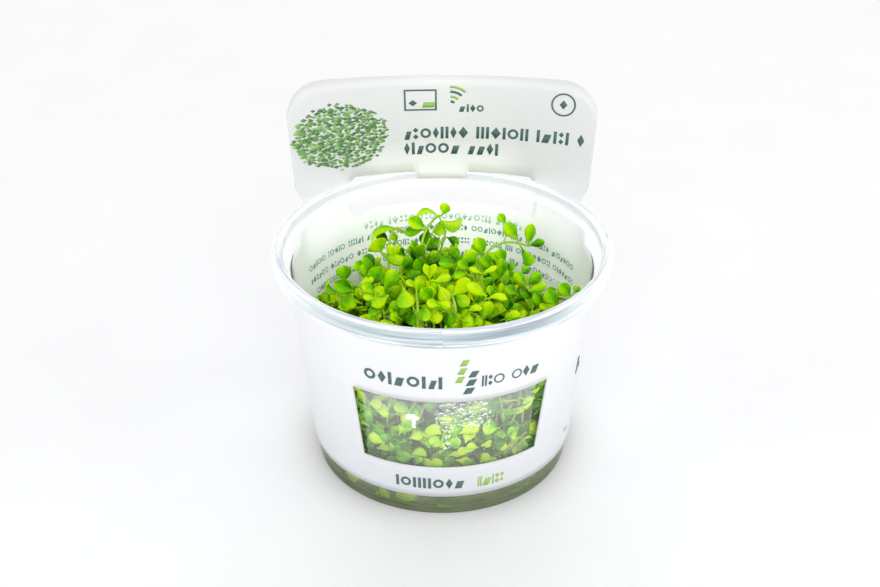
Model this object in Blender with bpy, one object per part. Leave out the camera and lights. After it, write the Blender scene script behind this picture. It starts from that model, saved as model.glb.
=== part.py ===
"""Monte carlo carpet plant, growing in a clear cup that wears a die-cut card sleeve.

Metres, +Z up. The origin is the middle of the cup's base, the sleeve's window faces -Y
and the header panel stands up behind the rim, at +Y.
"""

import math

import bmesh
import bpy
from mathutils import Matrix, Vector

MM = 0.001
GAP = 0.3 * MM  # between pieces that touch

# Cup
CUP_HEIGHT = 70.8 * MM
RIM_RADIUS = 50.0 * MM
BASE_RADIUS = 38.8 * MM
WALL_TAPER = 0.097  # radius gained per unit of height
WALL = 0.6 * MM
FLOOR_TOP = 1.5 * MM
FOOT_HEIGHT = 0.6 * MM
FOOT_INNER = 33.0 * MM
FOOT_OUTER = 37.8 * MM
FLOOR_FILLET = 2.0 * MM
SHOULDER_HEIGHT = CUP_HEIGHT - 6.6 * MM
COLLAR_RADIUS = 46.6 * MM
COLLAR_LEAN = 0.06
RIM_ROUND = 1.4 * MM
SKIRT_DEPTH = 4.7 * MM
SKIRT_LIP = 0.7 * MM
LIP_STEP = 0.25 * MM  # how far the lip stands out from the skirt above it
RIM_HOLLOW = 0.8 * MM
SOFT = 0.3 * MM  # the small drops and rounds beside the rim's corners
LEDGE_HEIGHT = CUP_HEIGHT - 5.6 * MM
LEDGE_DROP = 0.4 * MM
SHOULDER_DROP = 0.6 * MM
CUP_STEPS = 64

# Card sleeve
CARD = 0.4 * MM
CARD_RADIUS = BASE_RADIUS + GAP  # of its inner face, at the height of the cup's base
SLEEVE_BOTTOM = 7.6 * MM
SLEEVE_TOP = CUP_HEIGHT - 8.0 * MM
WINDOW_BOTTOM = 19.1 * MM
WINDOW_TOP = 43.9 * MM
WINDOW_CENTRE = math.radians(3.8)
WINDOW_HALF_BOTTOM = math.radians(37.3)
WINDOW_HALF_TOP = math.radians(39.2)
HEADER_RISE = 32.3 * MM  # above the rim
HEADER_CORNER = 11.0 * MM
HEADER_SPREAD = 0.002 / MM  # how fast the header widens upwards
HEADER_DEPTH_LOW = 45.8 * MM  # distance behind the axis, at the rim and at the top
HEADER_DEPTH_TOP = 48.0 * MM
HEADER_BEND_LOW = 0.0056 / MM
HEADER_BEND_TOP = 0.0027 / MM
LEG_INNER = 30.2 * MM
LEG_OUTER = 46.0 * MM
LEG_WAIST = 0.045
WAIST_REACH = 5.0 * MM
TAB_HALF = 8.0 * MM
TAB_DROP = 2.1 * MM
SLOT_DEPTH = 10.0 * MM
NOTCH_DEPTH = 12.0 * MM
NOTCH_START = 23.0 * MM
NOTCH_END = 26.5 * MM
SLOT_ROUND_START = 27.6 * MM
SLOT_ROUND_DROP = 2.9 * MM
SWING_START = CUP_HEIGHT - 18.0 * MM
SWING_END = CUP_HEIGHT - 3.0 * MM
SWING_NEAR = (16.0 * MM, 28.0 * MM)  # distance from the middle where it sets in
SWING_FAR = 10.0 * MM  # and the reach past the legs over which it dies out

# Where the card's columns stand, in millimetres from its middle at the back, and in
# degrees from -Y at the front, and which of its rows the window, slot and header take
BACK_ACROSS = (0, 4, 8, 13, 18, 23, 25, 26.5, 27.6, 28.6, 29.5)
LEG_ACROSS = (33.5, 37, 40.5, 43.3, 45.2)
SIDE_ACROSS = [48.0 * MM, 50.5 * MM, 54.0 * MM, 60.0 * MM]
WINDOW_SIDES = (-36, 43)
FRONT_ANGLES = [*range(-92, -36, 8), -36, *range(-28, 37, 8), 43, *range(52, 93, 8)]
WINDOW_ROW = 1
SLOT_ROW = 6
SLEEVE_ROWS = 7
HEADER_ROW = 11
HEADER_ROWS = 4
LEG_STEP = 3.4 * MM
SWING_STEPS = (3.2 * MM, 5.6 * MM)  # rows above the start of the swing
RIM_STEPS = (6.0 * MM, 4.5 * MM)  # rows below the rim

# Growth
GEL_TOP = 6.6 * MM
CARPET_RIM = 43.5 * MM
CARPET_CROWN = 10.0 * MM
CARPET_LUMPS = 0.8 * MM
CROWN_BACK = 13.0 * MM
CROWN_SPREAD = 13.0 * MM
LUMP_RATE = 0.25 / MM
CLUMP_MIDDLE = 16.0 * MM
CLUMP_GAP = 0.6 * MM
CLUMP_ROUND = 1.5 * MM
CLUMP_RINGS = (1.0, 0.93, 0.72, 0.4)  # shares of the way out from a clump's middle
CLUMP_NAMES = (
    "carpet_right",
    "carpet_back",
    "carpet_back_left",
    "carpet_left",
    "carpet_front",
    "carpet_front_right",
)
MENISCUS = 0.5 * MM
MENISCUS_WIDTH = 2.0 * MM
GEL_STEPS = 48
STEM_RADIUS = 0.55 * MM
STEM_TIP = 0.7  # a stem's radius at its tip, as a share of that at its start
STEM_SEAT = 0.5 * MM
LEAF_THICKNESS = 0.45 * MM
LEAF_HALF_WIDTH = 0.44
LEAF_CUP = 0.14  # depth of a leaf's hollow, as a share of its length

# Each shoot, in millimetres: where its stem leaves the carpet, the two handles of its
# curve and its tip. A leaf is a place along the stem, a heading and a climb in degrees,
# and a length.
SHOOTS = {
    "tall_shoot": {
        "start": (-6.2, 13.0),
        "handles": ((-7.2, 17.5, 58.0), (-6.5, 20.5, 64.5)),
        "tip": (-0.8, 23.5, 66.8),
        "leaves": (
            (0.99, 25, 60, 5.0),
            (0.98, 192, 17, 7.0),
            (0.90, 345, -5, 7.0),
            (0.72, 192, 9, 7.2),
            (0.80, 294, -31, 4.8),
            (0.50, 310, -24, 4.8),
            (0.50, 196, -8, 4.4),
            (0.36, 355, 4, 5.4),
        ),
    },
    "left_shoot": {
        "start": (-16.5, 12.0),
        "handles": ((-16.5, 15.5, 58.0), (-17.0, 20.0, 69.5)),
        "tip": (-11.5, 20.0, 62.5),
        "leaves": (
            (0.74, 194, -10, 6.4),
            (0.46, 204, 22, 6.6),
            (0.46, 28, 42, 3.4),
            (0.28, 324, -22, 5.0),
            (0.28, 150, 10, 4.6),
        ),
    },
    "right_shoot": {
        "start": (10.5, 10.5),
        "handles": ((11.5, 12.0, 60.0), (16.0, 16.0, 64.5)),
        "tip": (26.7, 20.0, 58.0),
        "leaves": (
            (0.98, 43, 76, 6.2),
            (0.99, 346, 26, 4.4),
            (0.84, 157, 55, 6.5),
            (0.84, 343, -53, 7.8),
            (0.56, 95, 70, 5.0),
            (0.32, 130, 62, 5.2),
            (0.32, 198, 6, 5.0),
        ),
    },
    "wall_shoot": {
        "start": (-31.0, 7.5),
        "handles": ((-31.4, 8.2, 47.0), (-31.5, 11.0, 48.5)),
        "tip": (-30.3, 12.0, 49.4),
        "leaves": (
            (0.98, 43, 72, 5.6),
            (0.96, 307, -20, 4.8),
            (0.60, 189, 18, 6.2),
            (0.40, 322, -4, 5.0),
        ),
    },
    "middle_shoot": {
        "start": (4.0, -3.5),
        "handles": ((4.0, -2.5, 50.0), (3.4, -1.0, 51.5)),
        "tip": (2.7, 0.0, 52.6),
        "leaves": (
            (0.98, 17, 45, 7.0),
            (0.97, 185, 22, 6.2),
            (0.60, 333, -5, 4.6),
            (0.45, 205, 8, 6.2),
        ),
    },
    "front_shoot": {
        "start": (-7.2, -7.0),
        "handles": ((-7.2, -5.5, 51.0), (-7.5, -3.5, 55.5)),
        "tip": (-7.8, -2.0, 59.5),
        "leaves": (
            (0.98, 201, -10, 3.4),
            (0.98, 30, 10, 3.4),
            (0.66, 323, -18, 4.2),
            (0.50, 190, -4, 5.8),
            (0.36, 340, -12, 4.8),
        ),
    },
}
STEM_RINGS = 8
STEM_SIDES = 6
LEAF_POINTS = 12

COLOURS = {
    "clear_plastic": (0.86, 0.90, 0.91),
    "white_card": (0.90, 0.91, 0.93),
    "gel": (0.30, 0.38, 0.24),
    "carpet_green": (0.16, 0.34, 0.03),
    "stem_green": (0.42, 0.58, 0.12),
    "leaf_green": (0.30, 0.55, 0.03),
}
ROUGHNESS = {
    "clear_plastic": 0.08,
    "white_card": 0.45,
    "gel": 0.15,
    "carpet_green": 0.5,
    "stem_green": 0.45,
    "leaf_green": 0.4,
}


def clear_scene():
    for thing in list(bpy.data.objects):
        bpy.data.objects.remove(thing, do_unlink=True)


def material(name):
    """One Principled material for each kind of stuff."""
    found = bpy.data.materials.get(name)
    if found:
        return found
    made = bpy.data.materials.new(name)
    made.use_nodes = True
    shader = made.node_tree.nodes["Principled BSDF"]
    shader.inputs["Base Color"].default_value = (*COLOURS[name], 1.0)
    shader.inputs["Roughness"].default_value = ROUGHNESS[name]
    shader.inputs["Metallic"].default_value = 0.0
    if name == "clear_plastic":
        shader.inputs["Transmission Weight"].default_value = 1.0
        shader.inputs["IOR"].default_value = 1.5
    return made


def add_object(name, mesh, stuff):
    mesh.materials.append(material(stuff))
    thing = bpy.data.objects.new(name, mesh)
    bpy.context.scene.collection.objects.link(thing)
    return thing


def mesh_from(name, points, faces):
    mesh = bpy.data.meshes.new(name)
    mesh.from_pydata(points, [], faces)
    mesh.update()
    return mesh


def smooth_step(low, high, value):
    share = min(max((value - low) / (high - low), 0.0), 1.0)
    return share * share * (3.0 - 2.0 * share)


def blend(low, high, share):
    return low + (high - low) * share


def arc(centre_r, centre_z, radius, start, end, count):
    """Points of an arc in the profile plane. Angles are in degrees from +R towards +Z."""
    points = []
    for i in range(count + 1):
        turn = math.radians(blend(start, end, i / count))
        points.append((centre_r + radius * math.cos(turn), centre_z + radius * math.sin(turn)))
    return points


def turned(name, profile, steps, stuff):
    """A solid of revolution from a profile of (radius, height) points."""
    points = [(r, 0.0, z) for r, z in profile]
    mesh = bpy.data.meshes.new(name)
    mesh.from_pydata(points, [(i, i + 1) for i in range(len(points) - 1)], [])
    thing = add_object(name, mesh, stuff)
    screw = thing.modifiers.new("turn", "SCREW")
    screw.axis = "Z"
    screw.angle = math.tau
    screw.steps = steps
    screw.render_steps = steps
    screw.use_merge_vertices = True
    screw.merge_threshold = 0.00001
    screw.use_smooth_shade = True
    return thing


def wall_outside(height):
    return BASE_RADIUS + WALL_TAPER * height


def wall_inside(height):
    return wall_outside(height) - WALL


def cup_profile():
    """From the middle of the floor, up the inside, over the rim and down the outside."""
    fillet_z = FLOOR_TOP + FLOOR_FILLET
    fillet_r = wall_inside(fillet_z) - FLOOR_FILLET
    inside = [(0.0, FLOOR_TOP)] + arc(fillet_r, fillet_z, FLOOR_FILLET, -90, 0, 4)
    collar_top = CUP_HEIGHT - RIM_ROUND
    collar_top_r = COLLAR_RADIUS + COLLAR_LEAN * (collar_top - LEDGE_HEIGHT)
    inside += [
        (wall_inside(SHOULDER_HEIGHT), SHOULDER_HEIGHT),
        (COLLAR_RADIUS, LEDGE_HEIGHT),
        (collar_top_r, collar_top),
    ]
    rim = arc(collar_top_r + RIM_ROUND, collar_top, RIM_ROUND, 150, 90, 2)
    rim += arc(RIM_RADIUS - RIM_ROUND, collar_top, RIM_ROUND, 90, 0, 4)
    skirt_bottom = CUP_HEIGHT - SKIRT_DEPTH
    lip_top = skirt_bottom + SKIRT_LIP
    skirt = [
        (RIM_RADIUS - LIP_STEP, lip_top + SOFT),
        (RIM_RADIUS, lip_top),
        (RIM_RADIUS, skirt_bottom),
        (RIM_RADIUS - WALL, skirt_bottom),
        (RIM_RADIUS - LIP_STEP - WALL, collar_top - SOFT),
        (collar_top_r + WALL + RIM_HOLLOW, CUP_HEIGHT - WALL - LIP_STEP),
        (collar_top_r + WALL, collar_top - SOFT),
    ]
    under = SHOULDER_HEIGHT - SHOULDER_DROP
    outside = [
        (COLLAR_RADIUS + WALL, LEDGE_HEIGHT - LEDGE_DROP),
        (wall_outside(under), under),
        (wall_outside(FLOOR_TOP), FLOOR_TOP),
        (FOOT_OUTER, 0.0),
        (FOOT_INNER, 0.0),
        (FOOT_INNER - FOOT_HEIGHT, FOOT_HEIGHT),
        (0.0, FOOT_HEIGHT),
    ]
    return inside + rim + skirt + outside


def build_cup():
    return turned("cup", cup_profile(), CUP_STEPS, "clear_plastic")


def build_gel():
    """The set gel, with its surface drawn up a little at the wall."""
    low = FLOOR_TOP + GAP
    fillet = FLOOR_FILLET + GAP
    fillet_r = wall_inside(low + fillet) - 1.3 * GAP - fillet
    edge = wall_inside(GEL_TOP) - 1.3 * GAP
    profile = [(0.0, GEL_TOP), (edge - MENISCUS_WIDTH, GEL_TOP), (edge, GEL_TOP + MENISCUS)]
    profile += arc(fillet_r, low + fillet, fillet, 0, -90, 3)
    profile.append((0.0, low))
    return turned("nutrient_gel", profile, GEL_STEPS, "gel")


def sleeve_radius(height):
    return CARD_RADIUS + WALL_TAPER * height


def cone_point(angle, height):
    """A point of the card's inner face on the cup's cone; angle is from the back, +Y."""
    radius = sleeve_radius(height)
    return Vector((radius * math.sin(angle), radius * math.cos(angle), height))


def swing(across, height):
    """How far the card has left the cup's cone for the header's flatter sweep, 0 to 1."""
    if height >= SWING_END:
        return 1.0
    near = smooth_step(*SWING_NEAR, across)
    far = 1.0 - smooth_step(LEG_OUTER, LEG_OUTER + SWING_FAR, across)
    return smooth_step(SWING_START, SWING_END, height) * near * far


def header_point(across, height):
    rise = max(height - CUP_HEIGHT, 0.0)
    depth = blend(HEADER_DEPTH_LOW, HEADER_DEPTH_TOP, rise / HEADER_RISE)
    bend = blend(HEADER_BEND_LOW, HEADER_BEND_TOP, rise / HEADER_RISE)
    edge = smooth_step(0.75 * LEG_OUTER, LEG_OUTER, abs(across))
    waist = LEG_WAIST * edge * smooth_step(0, WAIST_REACH, CUP_HEIGHT - height)
    wide = across * (1.0 + HEADER_SPREAD * rise - waist)
    return Vector((wide, depth - bend * wide * wide, height))


def card_point(across, height):
    """A point of the card's inner face. across is its distance from the card's middle."""
    size = abs(across)
    length = size + (2.0 * HEADER_BEND_LOW) ** 2 * size**3 / 6.0
    angle = math.copysign(length / sleeve_radius(CUP_HEIGHT), across)
    return cone_point(angle, height).lerp(header_point(across, height), swing(size, height))


def header_bottom(across):
    """Lower edge of the header, with the slot's rounded upper corner."""
    inward = min(max(across - SLOT_ROUND_START, 0.0), LEG_INNER - SLOT_ROUND_START)
    share = inward / (LEG_INNER - SLOT_ROUND_START)
    return CUP_HEIGHT + GAP - SLOT_ROUND_DROP * share**1.4


def header_top(across):
    """Upper edge of the header, with its rounded corner."""
    inward = max(across - (LEG_OUTER - HEADER_CORNER), 0.0)
    low = CUP_HEIGHT + HEADER_RISE - HEADER_CORNER
    return low + math.sqrt(max(HEADER_CORNER**2 - inward**2, 0.0))


def slot_bottom(across):
    deep = smooth_step(NOTCH_START, NOTCH_END, across)
    return CUP_HEIGHT - blend(SLOT_DEPTH, NOTCH_DEPTH, deep)


def back_column(across):
    """Points of one upright line of the card's back, from its lower edge to its top."""
    size = abs(across)
    bottom = header_bottom(size)
    top = header_top(min(size, LEG_OUTER))
    tab = CUP_HEIGHT - (TAB_DROP if size <= TAB_HALF else LEG_STEP)
    heights = [SLEEVE_BOTTOM, WINDOW_BOTTOM, WINDOW_TOP, SWING_START]
    heights += [SWING_START + step for step in SWING_STEPS] + [slot_bottom(size), SLEEVE_TOP]
    heights += [CUP_HEIGHT - step for step in RIM_STEPS] + [tab]
    heights += [blend(bottom, top, i / HEADER_ROWS) for i in range(HEADER_ROWS + 1)]
    return {"across": size, "points": [card_point(across, z) for z in heights]}


def front_column(low_angle, high_angle):
    """The same for the front, by its angles from -Y below and above the window's edges."""
    rows = back_column(SIDE_ACROSS[-1])["points"][: SLEEVE_ROWS + 1]
    points = []
    for row, place in enumerate(rows):
        angle = low_angle if row <= WINDOW_ROW else high_angle
        points.append(cone_point(math.pi - angle, place.z))
    return {"across": None, "points": points}


def front_columns():
    """Front columns from -X to +X. The window's sides are columns of their own."""
    low = WINDOW_HALF_BOTTOM
    high = WINDOW_HALF_TOP
    columns = []
    for degrees in FRONT_ANGLES:
        if degrees in WINDOW_SIDES:
            side = math.copysign(1.0, degrees)
            angles = (WINDOW_CENTRE + side * low, WINDOW_CENTRE + side * high)
        else:
            angles = (math.radians(degrees), math.radians(degrees))
        column = front_column(*angles)
        column["in_window"] = WINDOW_SIDES[0] <= degrees <= WINDOW_SIDES[1]
        columns.append(column)
    return columns


def card_columns():
    """All columns round the card, from the back's middle over -X, the front and +X."""
    half = [v * MM for v in BACK_ACROSS] + [LEG_INNER]
    half += [v * MM for v in LEG_ACROSS] + [LEG_OUTER] + SIDE_ACROSS
    left = [back_column(-v) for v in half]
    right = [back_column(v) for v in reversed(half[1:])]
    return left + front_columns() + right


def card_has(first, second, row):
    """True where there is card between two neighbouring columns, above the given row."""
    if row == WINDOW_ROW and first.get("in_window") and second.get("in_window"):
        return False
    if first["across"] is None or second["across"] is None:
        return row < SLEEVE_ROWS
    near = min(first["across"], second["across"])
    far = max(first["across"], second["across"])
    if far > LEG_OUTER:
        return row < SLEEVE_ROWS
    if SLOT_ROW <= row < HEADER_ROW:
        in_tab = row == HEADER_ROW - 1 and far <= TAB_HALF
        return near >= LEG_INNER or in_tab
    return True


def build_card():
    """One sheet with its window, slot and tab, thickened outwards."""
    columns = card_columns()
    sheet = bmesh.new()
    made = {}

    def corner(index, row):
        if (index, row) not in made:
            made[index, row] = sheet.verts.new(columns[index]["points"][row])
        return made[index, row]

    for i, column in enumerate(columns):
        j = (i + 1) % len(columns)
        for row in range(HEADER_ROW + HEADER_ROWS):
            if card_has(column, columns[j], row):
                ring = ((i, row), (j, row), (j, row + 1), (i, row + 1))
                sheet.faces.new([corner(*place) for place in ring])
    mesh = bpy.data.meshes.new("card_sleeve")
    sheet.to_mesh(mesh)
    sheet.free()
    thing = add_object("card_sleeve", mesh, "white_card")
    thick = thing.modifiers.new("card", "SOLIDIFY")
    thick.thickness = CARD
    thick.offset = 1.0
    return thing


def carpet_top(x, y):
    """Height of the carpet's leaf tips: a low crown with gentle lumps."""
    spread = (x * x + (y - CROWN_BACK) ** 2) / (2.0 * CROWN_SPREAD**2)
    lumps = math.sin(x * LUMP_RATE + 1.0) + math.cos(y * LUMP_RATE - 0.5)
    return CARPET_RIM + CARPET_CROWN * math.exp(-spread) + CARPET_LUMPS * lumps


def build_clump(name, low_outline, high_outline):
    """A tuft of the carpet, from an outline at the gel and one at the leaf tips."""
    count = len(low_outline)
    low = GEL_TOP + MENISCUS + GAP
    middle = sum((Vector(p) for p in high_outline), Vector((0, 0))) / count
    points = [(middle.x, middle.y, low)] + [(x, y, low) for x, y in low_outline]
    for share in CLUMP_RINGS:
        for corner in high_outline:
            x, y = middle.lerp(Vector(corner), share)
            drop = CLUMP_ROUND if share == 1.0 else 0.0
            points.append((x, y, carpet_top(x, y) - drop))
    points.append((middle.x, middle.y, carpet_top(middle.x, middle.y)))
    faces = []
    for i in range(count):
        j = (i + 1) % count
        faces.append((0, 1 + j, 1 + i))
        for ring in range(len(CLUMP_RINGS)):
            base = 1 + ring * count
            faces.append((base + i, base + j, base + count + j, base + count + i))
        base = 1 + len(CLUMP_RINGS) * count
        faces.append((base + i, base + j, len(points) - 1))
    return add_object(name, mesh_from(name, points, faces), "carpet_green")


def ring_outline(radius, count):
    turns = [math.tau * i / count for i in range(count)]
    return [(radius * math.cos(a), radius * math.sin(a)) for a in turns]


def sector_outline(start, end, outer):
    """Outline of the share of a ring between two angles, half a gap in from each side."""
    inner = CLUMP_MIDDLE + GAP
    points = []
    for radius, steps in ((inner, 4), (outer, 7)):
        inset = CLUMP_GAP / (2.0 * radius)
        span = [blend(start + inset, end - inset, i / steps) for i in range(steps + 1)]
        if radius == inner:
            span.reverse()
        points += [(radius * math.cos(a), radius * math.sin(a)) for a in span]
    return points


def build_carpet():
    middle = ring_outline(CLUMP_MIDDLE, 18)
    build_clump("carpet_middle", middle, middle)
    low_radius = wall_inside(GEL_TOP) - 1.5 * GAP
    high_radius = wall_inside(CARPET_RIM - CLUMP_ROUND - 2.0 * CARPET_LUMPS) - 1.5 * GAP
    step = math.tau / len(CLUMP_NAMES)
    for i, name in enumerate(CLUMP_NAMES):
        low = sector_outline(i * step, (i + 1) * step, low_radius)
        high = sector_outline(i * step, (i + 1) * step, high_radius)
        build_clump(name, low, high)


def stem_curve(shoot):
    """The four points of a cubic curve, from the carpet to the stem's tip."""
    x, y = (v * MM for v in shoot["start"])
    start = Vector((x, y, carpet_top(x, y) + STEM_SEAT))
    handles = [Vector(handle) * MM for handle in shoot["handles"]]
    return [start, *handles, Vector(shoot["tip"]) * MM]


def along(curve, share):
    """The point a share of the way along a curve."""
    points = list(curve)
    while len(points) > 1:
        points = [a.lerp(b, share) for a, b in zip(points, points[1:])]
    return points[0]


def build_stem(name, curve):
    points = []
    faces = []
    for ring in range(STEM_RINGS + 1):
        share = ring / STEM_RINGS
        ahead = along(curve, share + 0.01) - along(curve, share - 0.01)
        turn = Vector((0.0, 0.0, 1.0)).rotation_difference(ahead)
        radius = STEM_RADIUS * blend(1.0, STEM_TIP, share)
        for side in range(STEM_SIDES):
            a = math.tau * side / STEM_SIDES
            spoke = Vector((math.cos(a), math.sin(a), 0.0)) * radius
            points.append(along(curve, share) + turn @ spoke)
    for ring in range(STEM_RINGS):
        for side in range(STEM_SIDES):
            after = (side + 1) % STEM_SIDES
            low = ring * STEM_SIDES
            high = low + STEM_SIDES
            faces.append((low + side, low + after, high + after, high + side))
    faces.append(tuple(reversed(range(STEM_SIDES))))
    faces.append(tuple(STEM_RINGS * STEM_SIDES + side for side in range(STEM_SIDES)))
    return add_object(name, mesh_from(name, points, faces), "stem_green")


def build_leaf(name, base, heading, climb, length):
    """A round leaf blade, a little hollow, that starts at base."""
    hollow = -LEAF_CUP * length
    points = []
    for i in range(LEAF_POINTS):
        a = math.tau * i / LEAF_POINTS
        x = length * (0.5 - 0.5 * math.cos(a))
        points.append((x, LEAF_HALF_WIDTH * length * math.sin(a), 0.0))
    points.append((0.5 * length, 0.0, hollow + LEAF_THICKNESS / 2.0))
    points.append((0.5 * length, 0.0, hollow - LEAF_THICKNESS / 2.0))
    faces = []
    for i in range(LEAF_POINTS):
        j = (i + 1) % LEAF_POINTS
        faces.append((j, i, LEAF_POINTS))
        faces.append((i, j, LEAF_POINTS + 1))
    leaf = add_object(name, mesh_from(name, points, faces), "leaf_green")
    turn = Matrix.Rotation(heading, 4, "Z") @ Matrix.Rotation(-climb, 4, "Y")
    leaf.matrix_world = Matrix.Translation(base) @ turn
    return leaf


def build_shoot(name, shoot):
    curve = stem_curve(shoot)
    build_stem(name + "_stem", curve)
    for number, (share, heading, climb, length) in enumerate(shoot["leaves"], start=1):
        heading = math.radians(heading)
        climb = math.radians(climb)
        out = Vector((math.cos(heading), math.sin(heading), 0.0)) * math.cos(climb)
        out.z = math.sin(climb)
        base = along(curve, share) + out * (STEM_RADIUS + GAP)
        build_leaf(f"{name}_leaf_{number}", base, heading, climb, length * MM)


def main():
    clear_scene()
    build_cup()
    build_gel()
    build_card()
    build_carpet()
    for name, shoot in SHOOTS.items():
        build_shoot(name, shoot)


main()
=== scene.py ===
"""Looks of a monte carlo carpet plant, growing in a clear cup that wears a card sleeve.

Metres, +Z up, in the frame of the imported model. The origin is the middle of the cup's
base, the sleeve's window faces -Y and the header panel stands behind the rim, at +Y.
"""

import math
import random
from functools import partialmethod

import bpy
import numpy as np
from mathutils import Matrix, Vector


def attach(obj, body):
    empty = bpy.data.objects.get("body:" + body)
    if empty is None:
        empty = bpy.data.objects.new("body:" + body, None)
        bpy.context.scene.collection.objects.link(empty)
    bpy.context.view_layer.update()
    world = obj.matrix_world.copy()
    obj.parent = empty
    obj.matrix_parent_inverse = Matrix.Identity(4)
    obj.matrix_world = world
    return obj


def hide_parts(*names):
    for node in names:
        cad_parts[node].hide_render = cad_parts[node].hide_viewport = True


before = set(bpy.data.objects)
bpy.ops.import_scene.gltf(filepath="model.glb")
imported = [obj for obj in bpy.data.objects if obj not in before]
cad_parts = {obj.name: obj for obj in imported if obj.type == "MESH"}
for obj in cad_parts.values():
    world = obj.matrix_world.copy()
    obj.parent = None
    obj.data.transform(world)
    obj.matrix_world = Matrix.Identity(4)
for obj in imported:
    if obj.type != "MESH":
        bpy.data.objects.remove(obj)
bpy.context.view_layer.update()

MM = 0.001
GAP = 0.3 * MM  # between pieces that touch

# Camera
CAMERA_PLACE = (-0.65 * MM, -359.96 * MM, 270.03 * MM)
CAMERA_TILT = 58.885  # degrees, from looking straight down
CAMERA_LENS = 57.21
CAMERA_SENSOR = 36.0
PICTURE = (880, 587)  # pixels of the main view

LIGHTS_AIM = Vector((0.0, 0.0, 40.0 * MM))

# Cup
CUP_HEIGHT = 70.8 * MM
RIM_RADIUS = 50.0 * MM
BASE_RADIUS = 38.8 * MM
WALL_TAPER = 0.097  # radius gained per unit of height
WALL = 0.6 * MM
FLOOR_TOP = 1.5 * MM
FOOT_HEIGHT = 0.6 * MM
FOOT_INNER = 33.0 * MM
FOOT_ROUND = 0.4 * MM
FLOOR_FILLET = 2.0 * MM
SHOULDER_HEIGHT = CUP_HEIGHT - 6.6 * MM
SHOULDER_DROP = 0.6 * MM
LEDGE_HEIGHT = CUP_HEIGHT - 5.6 * MM
COLLAR_RADIUS = 46.6 * MM
COLLAR_LEAN = 0.06
RIM_ROUND = 1.4 * MM
SKIRT_DEPTH = 4.7 * MM
SKIRT_LIP = 0.7 * MM
LIP_STEP = 0.25 * MM  # how far the lip stands out from the skirt above it
SOFT = 0.15 * MM  # the small rounds of the rim's corners
CUP_STEPS = 180
LIP_LINE = 48.4 * MM  # radius of a painted grey line in the rim's white edge
VEIL = (-32.0, 38.5)  # degrees from the front, the fogged stretch of the wall
FOG_FOOT = 14.0 * MM

# Card sleeve
CARD = 0.4 * MM
CARD_RADIUS = BASE_RADIUS + GAP  # of its inner face, at the height of the cup's base
SLEEVE_BOTTOM = 7.6 * MM
SLEEVE_TOP = CUP_HEIGHT - 8.0 * MM
WINDOW_BOTTOM = 19.1 * MM
WINDOW_TOP = 43.9 * MM
WINDOW_CENTRE = math.radians(3.8)
WINDOW_HALF_BOTTOM = math.radians(37.3)
WINDOW_HALF_TOP = math.radians(39.2)
HEADER_RISE = 32.3 * MM  # above the rim
HEADER_CORNER = 11.0 * MM
HEADER_SPREAD = 0.002 / MM
HEADER_DEPTH_LOW = 45.8 * MM
HEADER_DEPTH_TOP = 48.0 * MM
HEADER_BEND_LOW = 0.0056 / MM
HEADER_BEND_TOP = 0.0027 / MM
LEG_INNER = 30.2 * MM
LEG_OUTER = 46.0 * MM
LEG_WAIST = 0.045
WAIST_REACH = 5.0 * MM
TAB_HALF = 8.0 * MM
TAB_DROP = 2.1 * MM
TAB_ROW_DROP = 3.4 * MM  # of the same row beside the tab
SLOT_DEPTH = 10.0 * MM
NOTCH_DEPTH = 12.0 * MM
NOTCH_START = 23.0 * MM
NOTCH_END = 26.5 * MM
SLOT_ROUND_START = 27.6 * MM
SLOT_ROUND_DROP = 2.9 * MM
SWING_START = CUP_HEIGHT - 18.0 * MM
SWING_END = CUP_HEIGHT - 3.0 * MM
SWING_NEAR = (16.0 * MM, 28.0 * MM)
SWING_FAR = 10.0 * MM

# The card is a grid. Its columns stand in millimetres from its middle at the back, and in
# degrees from -Y at the front. Its rows are named by the edge that they lie on, and each
# stretch between two named rows is cut finer.
BACK_ACROSS = (0, 8, 18, 23, 25, 26.5, 27.6, 28.6, 29.5, 30.2, 35, 38, 41, 43.3, 44.6, 45.3,
               45.8, 46, 48, 50.5, 54, 60)
COLUMN_STEP = 1.6 * MM
FRONT_HALF = 92
FRONT_STEP = 2.0
WINDOW_SIDES = (-36, 43)
WINDOW_ROW = 1
SLOT_ROW = 6
SLEEVE_ROWS = 7
HEADER_ROW = 11
ROW_PARTS = (5, 9, 4, 2, 1, 1, 2, 2, 1, 1, 1, 8)
SWING_STEPS = (3.2 * MM, 5.6 * MM)  # rows above the start of the swing
RIM_STEPS = (6.0 * MM, 4.5 * MM)  # rows below the rim
CLOSE = 1e-7  # slack where edges are compared

# Prints. A row of marks is its left, right, low and high edge and its stroke, in
# millimetres, and how much it climbs.
PRINT_LIFT = 0.05 * MM
PRINT_THICK = 0.03 * MM
PRINT_STEP = 1.6 * MM
PRINT_RADIUS = 44.35 * MM
HEADER_MARKS = ((-11.7, 44.0, 11.3, 15.2, 0.75, 0.02), (-11.9, 21.0, 6.3, 10.3, 0.75),
                (5.1, 12.3, 20.5, 23.0, 0.5))
SLEEVE_MARKS = ((-22.7, 2.6, 48.7, 53.0, 0.85), (11.0, 28.5, 48.7, 52.5, 0.45),
                (-14.9, 9.8, 10.8, 14.8, 0.8))
SLEEVE_MARKS_LIME = (11.4, 21.2, 10.6, 14.4, 0.42)
SIDE_MARKS = (49.6, 53.0, 14.4, 15.2, 0.2)
WALL_MARKS = ((-52.6, 54.0, 50.7, 52.9, 0.36), (-52.6, 53.0, 46.2, 48.4, 0.36),
              (-50.0, 52.0, 41.7, 43.9, 0.36))
WALL_MARKS_PALE = (-26.9, 30.7, 54.4, 57.0, 0.6)
ROSETTE_PLACE = (-31.0 * MM, 14.0 * MM)
ROSETTE_HALF = (14.2 * MM, 10.4 * MM)
ROSETTE_MARKS = 600
GOLDEN_TURN = math.pi * (3.0 - math.sqrt(5.0))

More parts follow.
